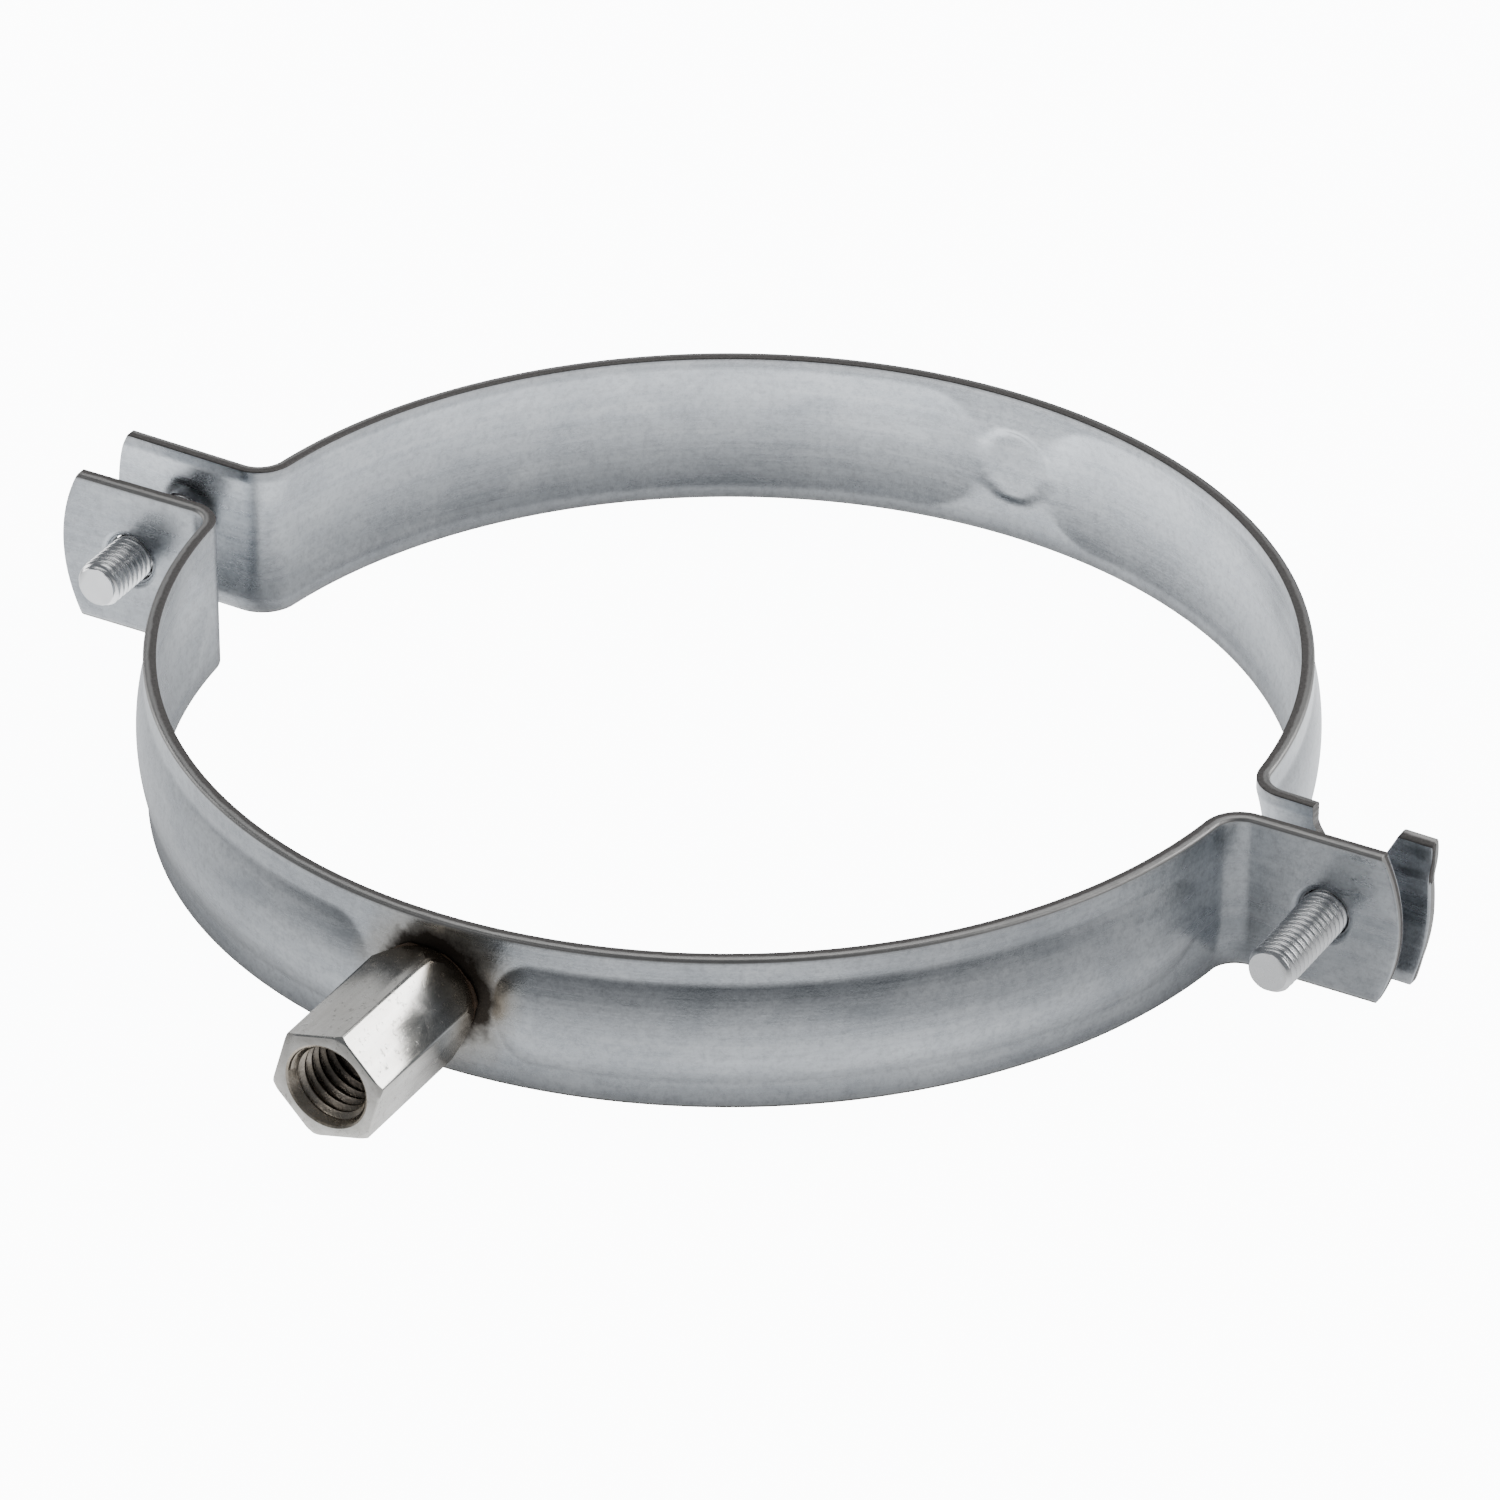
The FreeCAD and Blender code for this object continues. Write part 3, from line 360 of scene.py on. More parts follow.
def screw_zinc():
    """Bright zinc on rolled screws."""
    material, tree, shader = new_finish("screw_zinc", 1.0)
    place = add_node(tree, "ShaderNodeTexCoord").outputs["Object"]
    bloom = use_group(tree, ZINC_BLOOM, {
        "Vector": place, "Patch Scale": 300.0, "Streak Scale": (300.0, 700.0, 300.0),
        "Grain Scale": 3200.0})
    colour = blend(tree, bloom["Patch"], (0.84, 0.845, 0.85, 1), (0.93, 0.935, 0.94, 1))
    rough = remap(tree, bloom["Streak"], 0.0, 1.0, 0.22, 0.30)
    finish_surface(tree, shader, colour, rough, bloom["Grain"], 0.000002)
    return material


def weld_scale():
    """Burnt scale on the fused metal."""
    material, tree, shader = new_finish("weld_scale", 0.35)
    place = add_node(tree, "ShaderNodeTexCoord").outputs["Object"]
    lumps = noise(tree, place, 700.0, 5.0, 0.65)
    flakes = noise(tree, place, 2300.0, 3.0, 0.7)
    colour = blend(tree, lumps, (0.012, 0.009, 0.007, 1), (0.15, 0.085, 0.045, 1))
    rough = remap(tree, flakes, 0.3, 0.7, 0.45, 0.8)
    finish_surface(tree, shader, colour, rough, lumps, 0.00015)
    return material


def retainer_fibre():
    """Pressed fibre washers."""
    material, tree, shader = new_finish("retainer_fibre", 0.0)
    place = add_node(tree, "ShaderNodeTexCoord").outputs["Object"]
    weave = noise(tree, place, 1600.0, 4.0, 0.7)
    colour = blend(tree, weave, (0.020, 0.020, 0.021, 1), (0.075, 0.072, 0.070, 1))
    rough = remap(tree, weave, 0.3, 0.7, 0.55, 0.8)
    finish_surface(tree, shader, colour, rough, weave, 0.00003)
    return material


STRIP_ZINC = strip_zinc()
SHEARED_EDGE = sheared_edge()
PUNCHED_WALL = punched_wall()
NUT_PLATING = nut_plating()
NUT_THREAD = nut_thread()
SCREW_ZINC = screw_zinc()
WELD_SCALE = weld_scale()
RETAINER_FIBRE = retainer_fibre()


# ---------------------------------------------------------------- mesh helpers

def make_piece(name, points, faces, *materials, indices=None):
    mesh = bpy.data.meshes.new(name)
    mesh.from_pydata([Vector(point) * MM for point in points], [], faces)
    for material in materials:
        mesh.materials.append(material)
    if indices:
        mesh.polygons.foreach_set("material_index", indices)
    piece = bpy.data.objects.new(name, mesh)
    bpy.context.collection.objects.link(piece)
    return piece


def rework(piece, change):
    """Open the piece's mesh, run change on it and store it again."""
    work = bmesh.new()
    work.from_mesh(piece.data)
    change(work)
    work.to_mesh(piece.data)
    work.free()


def face_outwards(piece):
    def change(work):
        bmesh.ops.remove_doubles(work, verts=work.verts, dist=1e-8)
        bmesh.ops.recalc_face_normals(work, faces=work.faces)
    rework(piece, change)


def settle(piece):
    """Turn the evaluated piece into a plain mesh without modifiers."""
    depsgraph = bpy.context.evaluated_depsgraph_get()
    mesh = bpy.data.meshes.new_from_object(piece.evaluated_get(depsgraph))
    piece.modifiers.clear()
    piece.data = mesh


def combine(piece, tool, operation):
    """Cut, join or intersect with a tool, which is used up."""
    step = piece.modifiers.new("combine", "BOOLEAN")
    step.operation = operation
    step.object = tool
    step.solver = "EXACT"
    step.material_mode = "TRANSFER"
    settle(piece)
    bpy.data.objects.remove(tool)


def soften(piece, width, segments):
    step = piece.modifiers.new("soften", "BEVEL")
    step.width = width * MM
    step.segments = segments
    step.limit_method = "ANGLE"
    step.angle_limit = math.radians(40)
    step.harden_normals = False
    settle(piece)


def absorb(piece, other):
    """Join another piece's mesh into this one, materials kept."""
    with bpy.context.temp_override(active_object=piece, object=piece,
                                   selected_objects=[piece, other],
                                   selected_editable_objects=[piece, other]):
        bpy.ops.object.join()


def shade(piece, angle=35.0):
    piece.data.polygons.foreach_set("use_smooth", [True] * len(piece.data.polygons))
    piece.data.set_sharp_from_angle(angle=math.radians(angle))
    piece.data.update()


def face_map(piece):
    """Give a piece the strip's map, laid on it flat from the front."""
    layer = piece.data.uv_layers.new(name="strip")
    for polygon in piece.data.polygons:
        for corner in polygon.loop_indices:
            place = piece.data.vertices[piece.data.loops[corner].vertex_index].co
            layer.data[corner].uv = (place.x, place.z)


def lathe(name, profile, centre_x, material, segments=96):
    """A closed (radius, y) profile turned about the line along Y at centre_x."""
    points, faces = [], []
    count = len(profile)
    for step in range(segments):
        angle = 2 * math.pi * step / segments
        for radius, y in profile:
            points.append((centre_x + radius * math.cos(angle), y,
                           SCREW_Z + radius * math.sin(angle)))
    for step in range(segments):
        here, there = step * count, (step + 1) % segments * count
        for k in range(count):
            after = (k + 1) % count
            if profile[k][0] < 1e-6 and profile[after][0] < 1e-6:
                continue
            faces.append((here + k, there + k, there + after, here + after))
    piece = make_piece(name, points, faces, material)
    face_map(piece)

    def change(work):
        bmesh.ops.remove_doubles(work, verts=work.verts, dist=1e-8)
        bmesh.ops.dissolve_degenerate(work, edges=work.edges, dist=1e-9)
        bmesh.ops.recalc_face_normals(work, faces=work.faces)
    rework(piece, change)
    return piece


def block(name, low, high, material):
    """A plain block used only as a cutter."""
    x0, y0, z0 = low
    x1, y1, z1 = high
    points = [(x, y, z) for x in (x0, x1) for y in (y0, y1) for z in (z0, z1)]
    faces = [(0, 1, 3, 2), (4, 6, 7, 5), (0, 4, 5, 1), (2, 3, 7, 6), (0, 2, 6, 4), (1, 5, 7, 3)]
    piece = make_piece(name, points, faces, material)
    face_outwards(piece)
    return piece


def prism(name, outline, y0, y1, material):
    """An (x, z) outline carried from y0 to y1, used as a cutter."""
    count = len(outline)
    points = [(x, y0, z) for x, z in outline] + [(x, y1, z) for x, z in outline]
    faces = [tuple(range(count)), tuple(range(count, 2 * count))]
    faces += [(k, (k + 1) % count, count + (k + 1) % count, count + k) for k in range(count)]
    piece = make_piece(name, points, faces, material)
    face_outwards(piece)
    return piece


# ---------------------------------------------------------------- strip halves

def middle_line(run):
    """Point and outward direction of the strip's middle line, run from the ring's middle."""
    side = 1 if run >= 0 else -1
    run = abs(run)
    if run <= RING_RUN:
        angle = math.pi / 2 - run / RING
        point = (RING * math.cos(angle), RING * math.sin(angle))
        out = (math.cos(angle), math.sin(angle))
    elif run <= RING_RUN + BEND_RUN:
        angle = math.pi + BEND_ANGLE + (run - RING_RUN) / BEND
        point = (BEND_X + BEND * math.cos(angle), BEND_Y + BEND * math.sin(angle))
        out = (-math.cos(angle), -math.sin(angle))
    else:
        point = (BEND_X + run - RING_RUN - BEND_RUN, LEVEL)
        out = (0.0, 1.0)
    return (side * point[0], point[1]), (side * out[0], out[1])


def bead_sink(run, half):
    """How far the bead has sunk at this place along the strip."""
    run = abs(run)
    sink = 0.0
    if run < PAD_RUN:
        fade = PAD_FADE if half == FRONT else REAR_PAD_FADE
        sink = FADE_SINK * ((PAD_RUN - run) / fade) ** 2
    if half == FRONT and run > OUT_RUN:
        sink = FADE_SINK * ((run - OUT_RUN) / EAR_FADE) ** 2
    return min(sink, DEEPEST_SINK)


def crown(high, width, run, half):
    """Rise of a bead of the given width at the height high, with soft creases."""
    radius = ((width / 2) ** 2 + BEAD_RISE ** 2) / (2 * BEAD_RISE)
    off = abs(high - WIDTH / 2)
    rise = math.sqrt(radius ** 2 - off ** 2) - radius + BEAD_RISE
    rise -= bead_sink(run, half)
    return (rise + math.sqrt(rise ** 2 + CREASE ** 2)) / 2


def press_mark(run, high, half):
    """The shallow round dimple in the middle of the rear pad."""
    if half == FRONT:
        return 0.0
    far = math.hypot(run, high - WIDTH / 2)
    edge = min(max((DIMPLE_RADIUS - far) / DIMPLE_BLEND + 0.5, 0.0), 1.0)
    return DIMPLE_DEPTH * edge * edge * (3 - 2 * edge)


def end_reach(high, slotted):
    """X of the rounded ear end at this height; the slotted ear's stays straight above its middle."""
    tail, bulge = (SLOTTED_TAIL, SLOTTED_BULGE) if slotted else (EAR_TAIL, EAR_BULGE)
    off = min(high - WIDTH / 2, 0.0) if slotted else high - WIDTH / 2
    radius = ((WIDTH / 2) ** 2 + bulge ** 2) / (2 * bulge)
    return SCREW_X + tail + bulge - radius + math.sqrt(radius ** 2 - off ** 2)


def strip_stations():
    """Places along half of the strip, closer together where its shape changes fast."""
    spans = [(0.0, 6.5, 0.8), (6.5, 16.0, 0.35), (16.0, RING_RUN - 20.0, 0.95),
             (RING_RUN - 20.0, RING_RUN, 0.6),
             (RING_RUN, RING_RUN + BEND_RUN, 0.35), (RING_RUN + BEND_RUN, FULL_RUN - END_ROUND, 1.0)]
    stations = []
    for first, last, step in spans:
        count = max(1, round((last - first) / step))
        stations += [(first + (last - first) * k / count, 0.0) for k in range(count)]
    for k in range(5):
        lean = math.pi / 2 * k / 4
        stations.append((FULL_RUN - END_ROUND * (1 - math.sin(lean)),
                         END_ROUND * (1 - math.cos(lean))))
    return [(-run, inset) for run, inset in reversed(stations[1:])] + stations


def strip_section(run, half):
    """Section loop of (height, depth, kind); depth is from the middle line outwards."""
    loop = []
    for k in range(FACE_ROWS + 1):
        high = OUTER_ROUND + (WIDTH - 2 * OUTER_ROUND) * k / FACE_ROWS
        loop.append((high, GAUGE / 2 + crown(high, BEAD_WIDTH, run, half)))
    edge = []
    for k in (1, 2, 3):
        lean = math.pi / 6 * k
        edge.append((WIDTH - OUTER_ROUND * (1 - math.sin(lean)),
                     GAUGE / 2 - OUTER_ROUND * (1 - math.cos(lean))))
    edge.append((WIDTH, 0.0))
    for k in (0, 1, 2):
        lean = math.pi / 6 * k
        edge.append((WIDTH - INNER_ROUND * (1 - math.cos(lean)),
                     -GAUGE / 2 + INNER_ROUND * (1 - math.sin(lean))))
    loop += edge
    for k in range(FACE_ROWS, -1, -1):
        high = INNER_ROUND + (WIDTH - 2 * INNER_ROUND) * k / FACE_ROWS
        rise = crown(high, TROUGH_WIDTH, run, half) + press_mark(run, high, half)
        loop.append((high, -GAUGE / 2 + rise))
    loop += [(WIDTH - high, deep) for high, deep in reversed(edge)]
    return loop, len(edge)


def strip_half(name, half, slotted_right=False):
    """A bent, beaded strip half with its rounded ends, before holes."""
    points, depths, runs = [], [], []
    stations = strip_stations()
    for run, inset in stations:
        loop, edge_count = strip_section(run, half)
        count = len(loop)
        slotted = slotted_right and run > 0
        for high, deep in loop:
            shrink = (WIDTH / 2 - inset) / (WIDTH / 2)
            high_in = WIDTH / 2 + (high - WIDTH / 2) * shrink
            core = (crown(high, BEAD_WIDTH, run, half) + crown(high, TROUGH_WIDTH, run, half)) / 2
            deep_in = core + (deep - core) * (GAUGE / 2 - inset) / (GAUGE / 2)
            (x, y), (out_x, out_y) = middle_line(run)
            tail = SCREW_X + 2.0
            if abs(x) > tail:
                scale = (end_reach(high, slotted) - tail) / (END_X - tail)
                x = math.copysign(tail + (abs(x) - tail) * scale, x)
            points.append((x + out_x * deep_in, half * (y + out_y * deep_in), high_in))
            depths.append((GAUGE / 2 - deep) / GAUGE)
            runs.append(run)
    outer_end, inner_start = FACE_ROWS, FACE_ROWS + edge_count + 1
    inner_end = inner_start + FACE_ROWS
    faces, indices = [], []
    for j in range(len(stations) - 1):
        for k in range(count):
            after = (k + 1) % count
            face = (j * count + k, j * count + after,
                    (j + 1) * count + after, (j + 1) * count + k)
            faces.append(face)
            on_face = k < outer_end or inner_start <= k < inner_end
            indices.append(0 if on_face else 1)
    for base in (0, (len(stations) - 1) * count):
        for k in range(FACE_ROWS):
            faces.append((base + k, base + k + 1, base + inner_end - k - 1, base + inner_end - k))
            indices.append(1)
        faces.append(tuple(base + k for k in range(outer_end, inner_start + 1)))
        faces.append(tuple(base + k % count for k in range(inner_end, count + 1)))
        indices += [1, 1]
    piece = make_piece(name, points, faces, STRIP_ZINC, SHEARED_EDGE, indices=indices)
    layer = piece.data.uv_layers.new(name="strip")
    for polygon in piece.data.polygons:
        for corner in polygon.loop_indices:
            vertex = piece.data.loops[corner].vertex_index
            second = depths[vertex] if polygon.material_index else points[vertex][2] * MM
            layer.data[corner].uv = (runs[vertex] * MM, second)
    face_outwards(piece)
    return piece


def screw_mouth(side):
    """Cutter for a front ear's drawn hole: a rounded mouth running into the bore."""
    lip, clear = 0.95, 3.0
    profile = [(0.0, 0.0), (BORE, 0.0)]
    for k in range(9):
        lean = math.pi / 2 * k / 8
        profile.append((BORE + lip - lip * math.cos(lean), EAR_FACE + lip - lip * math.sin(lean)))
    rim = BORE + lip + 0.25
    profile += [(rim, EAR_FACE - 0.4), (rim, EAR_FACE - clear), (0.0, EAR_FACE - clear)]
    tool = lathe("mouth", profile, side * SCREW_X, STRIP_ZINC)
    tool.data.materials.append(PUNCHED_WALL)
    for polygon in tool.data.polygons:
        # the deeper part of the mouth and the bore take the dark wall finish as painted shade down the
        # hole
        polygon.material_index = 1 if polygon.center.y > (EAR_FACE + 0.75 * lip) * MM else 0
    return tool


def screw_collar(side):
    """The collar drawn out of the back of a front ear."""
    tip_y, root_y, outside = -2.0, -3.6, BORE + 1.0
    profile = [(BORE, root_y), (BORE, tip_y - 0.25), (BORE + 0.12, tip_y), (outside - 0.3, tip_y),
               (outside - 0.08, tip_y - 0.1), (outside, tip_y - 0.35), (outside, tip_y - 0.95),
               (outside + 0.1, tip_y - 1.25), (outside + 0.4, tip_y - 1.42), (outside + 0.4, root_y)]
    return lathe("collar", profile, side * SCREW_X, STRIP_ZINC)


def front_band():
    piece = strip_half("front_strip", FRONT)
    for side in (-1, 1):
        combine(piece, screw_mouth(side), "DIFFERENCE")
        absorb(piece, screw_collar(side))
    shade(piece, 32.0)
    return piece


def lock_slot():
    """Cutter for the open slot, with a soft round at its foot."""
    x, z = SCREW_X, SCREW_Z
    outline = [(x + SLOT_HALF * math.cos(a), z + SLOT_HALF * math.sin(a))
               for a in (math.pi + math.pi * k / 28 for k in range(29))]
    outline += [(x + SLOT_HALF, z + SLOT_STRAIGHT), (x + MOUTH_OUTER, z + MOUTH_START),
                (x + MOUTH_OUTER, WIDTH + 2), (x - MOUTH_INNER, WIDTH + 2),
                (x - MOUTH_INNER, z + MOUTH_START), (x - SLOT_HALF, z + SLOT_STRAIGHT)]
    return prism("slot", outline, -2.0, 9.0, PUNCHED_WALL)


def ear_lip():
    """The top of the slotted ear's end, swept back and then curled forward."""
    foot, turn, end, steps = 0.155, math.radians(-25), math.radians(17), 12
    ear_half, sunk = 0.73, 0.5
    centre_y, centre_z = LIP_CENTRE
    turn_y = centre_y + LIP_BEND * math.cos(turn)
    turn_z = centre_z + LIP_BEND * math.sin(turn)
    line = []
    for k in range(steps + 1):
        lean = foot + (turn - foot) * k / steps
        line.append((turn_y + LIP_BACK_BEND * (math.cos(turn) - math.cos(lean)),
                     turn_z + LIP_BACK_BEND * (math.sin(turn) - math.sin(lean)),
                     lean, 0.735 + 0.065 * k / steps))
    for k in range(1, steps + 1):
        lean = turn + (end - turn) * k / steps
        line.append((centre_y + LIP_BEND * math.cos(lean), centre_z + LIP_BEND * math.sin(lean),
                     lean, GAUGE / 2))
    foot_y, foot_z = line[0][:2]
    line.insert(0, (foot_y + sunk * math.sin(foot), foot_z - sunk * math.cos(foot), foot, ear_half))
    outline = [(y + half * math.cos(lean), z + half * math.sin(lean)) for y, z, lean, half in line]
    outline += [(y - half * math.cos(lean), z - half * math.sin(lean))
                for y, z, lean, half in reversed(line)]
    depth = [0.0] * len(line) + [1.0] * len(line)
    count = len(outline)
    inner_x = SCREW_X + SLOT_HALF
    points = [(inner_x + LIP_SLANT * max(z - LIP_FOOT, 0.0), y, z) for y, z in outline]
    points += [(END_X, y, z) for y, z in outline]
    faces = [tuple(range(count)), tuple(range(count, 2 * count))]
    faces += [(k, (k + 1) % count, count + (k + 1) % count, count + k) for k in range(count)]
    side = len(line) - 1
    piece = make_piece("lip", points, faces, STRIP_ZINC, SHEARED_EDGE,
                       indices=[1, 1] + [0] * side + [1] + [0] * side + [1])
    layer = piece.data.uv_layers.new(name="strip")
    for polygon in piece.data.polygons:
        for corner in polygon.loop_indices:
            vertex = piece.data.loops[corner].vertex_index
            x, y, z = piece.data.vertices[vertex].co
            second = depth[vertex % count] if polygon.material_index else z
            layer.data[corner].uv = (x + (FULL_RUN - END_X) * MM, second)
    face_outwards(piece)
    soften(piece, LIP_ROUND, 3)
    return piece


def rear_band():
    piece = strip_half("rear_strip", REAR, slotted_right=True)
    hole = lathe("hole", [(0.0, -1.0), (REAR_HOLE, -1.0), (REAR_HOLE, 9.0), (0.0, 9.0)],
                 -SCREW_X, PUNCHED_WALL)
    combine(piece, hole, "DIFFERENCE")
    combine(piece, lock_slot(), "DIFFERENCE")
    combine(piece, block("lip_room", (SCREW_X + 1, -2, LIP_FOOT), (END_X + 2, 9, WIDTH + 2),
                         PUNCHED_WALL), "DIFFERENCE")
    absorb(piece, ear_lip())
    piece.data.transform(Matrix.Rotation(math.radians(-REAR_TILT), 4, "Z"))
    shade(piece, 32.0)
    return piece


# ---------------------------------------------------------------- threads

def thread_tree():
    """Geometry nodes that wind a thread profile up a core, turn after turn."""
    tree = bpy.data.node_groups.new("wound_thread", "GeometryNodeTree")
    sockets = (("Turns", "NodeSocketFloat"), ("Pitch", "NodeSocketFloat"),
               ("Core Radius", "NodeSocketFloat"), ("Depth", "NodeSocketFloat"),
               ("Root Flat", "NodeSocketFloat"), ("Crest Flat", "NodeSocketFloat"),
               ("Sides", "NodeSocketInt"), ("Rows", "NodeSocketInt"),
               ("Finish", "NodeSocketMaterial"))
    for label, kind in sockets:
        tree.interface.new_socket(label, in_out="INPUT", socket_type=kind)
    tree.interface.new_socket("Geometry", in_out="OUTPUT", socket_type="NodeSocketGeometry")
    given = tree.nodes.new("NodeGroupInput").outputs
    result = tree.nodes.new("NodeGroupOutput")
    around = calc(tree, "ADD", calc(tree, "MULTIPLY", given["Turns"], given["Sides"]), 1.0)
    sheet = add_node(tree, "GeometryNodeMeshGrid", {
        "Size X": 1.0, "Size Y": 1.0, "Vertices X": around, "Vertices Y": given["Rows"]})
    place = add_node(tree, "GeometryNodeInputPosition").outputs[0]
    flat = add_node(tree, "ShaderNodeSeparateXYZ", {0: place}).outputs
    wound = calc(tree, "MULTIPLY", calc(tree, "ADD", flat["X"], 0.5), given["Turns"])
    across = calc(tree, "ADD", flat["Y"], 0.5)
    angle = calc(tree, "MULTIPLY", wound, 2 * math.pi)
    height = calc(tree, "MULTIPLY", calc(tree, "ADD", wound, across), given["Pitch"])
    slope = calc(tree, "SUBTRACT", 0.5, calc(tree, "ABSOLUTE", calc(tree, "SUBTRACT", across, 0.5)))
    lift = add_node(tree, "ShaderNodeMapRange", {
        "Value": slope, "From Min": given["Root Flat"],
        "From Max": calc(tree, "SUBTRACT", 0.5, given["Crest Flat"]),
        "To Min": 0.0, "To Max": 1.0}, interpolation_type="SMOOTHSTEP").outputs[0]
    radius = calc(tree, "ADD", given["Core Radius"], calc(tree, "MULTIPLY", lift, given["Depth"]))
    moved = add_node(tree, "ShaderNodeCombineXYZ", {
        0: calc(tree, "MULTIPLY", radius, calc(tree, "COSINE", angle)),
        1: calc(tree, "MULTIPLY", radius, calc(tree, "SINE", angle)), 2: height}).outputs[0]
    shaped = add_node(tree, "GeometryNodeSetPosition", {
        "Geometry": sheet.outputs["Mesh"], "Position": moved}).outputs[0]
    welded = add_node(tree, "GeometryNodeMergeByDistance", {
        "Geometry": shaped, "Distance": 1e-6}).outputs[0]
    real = add_node(tree, "GeometryNodeRealizeInstances", {"Geometry": welded}).outputs[0]
    painted = add_node(tree, "GeometryNodeSetMaterial", {
        "Geometry": real, "Material": given["Finish"]}).outputs[0]
    tree.links.new(painted, result.inputs[0])
    return tree


THREAD_TREE = thread_tree()


def threaded_rod(name, core, crest, pitch, length, material, taper=None):
    """A closed threaded rod from z = 0 to length; taper is (end radius, taper length)."""
    piece = make_piece(name, [], [], material)
    step = piece.modifiers.new("wind", "NODES")
    step.node_group = THREAD_TREE
    names = {item.name: item.identifier for item in THREAD_TREE.interface.items_tree
             if item.in_out == "INPUT"}
    turns = math.ceil(length / pitch) + 3
    values = {"Turns": float(turns), "Pitch": pitch * MM, "Core Radius": core * MM,
              "Depth": (crest - core) * MM, "Root Flat": 0.06, "Crest Flat": 0.06,
              "Sides": 56, "Rows": 11, "Finish": material}
    for label, value in values.items():
        step[names[label]] = value
    settle(piece)

    def change(work):
        for vertex in work.verts:
            vertex.co.z -= 1.5 * pitch * MM
            if taper and vertex.co.z < taper[1] * MM:
                allowed = taper[0] * MM + (crest - taper[0]) * max(vertex.co.z, 0.0) / taper[1]
                around = math.hypot(vertex.co.x, vertex.co.y)
                if around > allowed:
                    vertex.co.x *= allowed / around
                    vertex.co.y *= allowed / around
        for level, outside in ((0.0, False), (length * MM, True)):
            bmesh.ops.bisect_plane(work, geom=work.verts[:] + work.edges[:] + work.faces[:],
                                   dist=1e-9, plane_co=(0, 0, level), plane_no=(0, 0, 1),
                                   clear_outer=outside, clear_inner=not outside)
            rim = [edge for edge in work.edges if edge.is_boundary
                   and all(abs(vertex.co.z - level) < 1e-8 for vertex in edge.verts)]
            bmesh.ops.contextual_create(work, geom=rim)
        bmesh.ops.recalc_face_normals(work, faces=work.faces)
    rework(piece, change)
    return piece


# ---------------------------------------------------------------- screws

def screw(name, side):
    """A pan-head screw with a rolled thread, its point towards the front."""
    low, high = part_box(f"{side}_screw")
    centre = (low[0] + high[0]) / 2 / MM
    tip_y, top_y = low[1] / MM, high[1] / MM
    seat_y = top_y - HEAD_HEIGHT
    piece = threaded_rod(name, THREAD_CORE, THREAD_CREST, THREAD_PITCH, seat_y + 0.05 - tip_y,
                         SCREW_ZINC, taper=(2.45, 0.7))
    spin = Matrix.Rotation(math.radians(70 if side == "left" else 200), 4, "Z")
    lay = Matrix.Rotation(math.radians(-90), 4, "X")
    piece.data.transform(Matrix.Translation(Vector((centre, tip_y, SCREW_Z)) * MM) @ lay @ spin)
    rise = HEAD_HEIGHT - HEAD_RIM
    dome = (HEAD_RADIUS ** 2 + rise ** 2) / (2 * rise)
    profile = [(0.0, seat_y), (HEAD_RADIUS - 0.15, seat_y), (HEAD_RADIUS, seat_y + 0.15),
               (HEAD_RADIUS, seat_y + HEAD_RIM - 0.2)]
    for k in range(10):
        radius = (HEAD_RADIUS - 0.08) * math.cos(math.pi / 2 * k / 9) if k < 9 else 0.0
        profile.append((radius, top_y - dome + math.sqrt(dome ** 2 - radius ** 2)))
    head = lathe("head", profile, centre, SCREW_ZINC, 72)
    # the cross recess's walls take the dark wall finish: painted shade in the recess
    for wide, tall in ((RECESS_HALF, RECESS_ARM), (RECESS_ARM, RECESS_HALF)):
        corners = [(-wide, -tall), (wide, -tall), (wide, tall), (-wide, tall)]
        outline = [(centre + x, SCREW_Z + z) for x, z in corners]
        combine(head, prism("recess", outline, top_y - RECESS_DEPTH, top_y + 1, PUNCHED_WALL),
                "DIFFERENCE")
    soften(head, 0.12, 2)
    absorb(piece, head)
    shade(piece, 50.0)
    return piece


def retainer(name, side):
    low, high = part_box(f"{side}_retainer")
    centre = (low[0] + high[0]) / 2 / MM
    y0, y1 = low[1] / MM, high[1] / MM
    flat = DISC_RADIUS - DISC_ROUND
    profile = [(DISC_BORE, y0), (flat, y0), (DISC_RADIUS, y0 + DISC_ROUND),
               (DISC_RADIUS, y1 - DISC_ROUND), (flat, y1), (DISC_BORE, y1)]
    piece = lathe(name, profile, centre, RETAINER_FIBRE)
    shade(piece)
    return piece


# ---------------------------------------------------------------- connecting nut and its weld

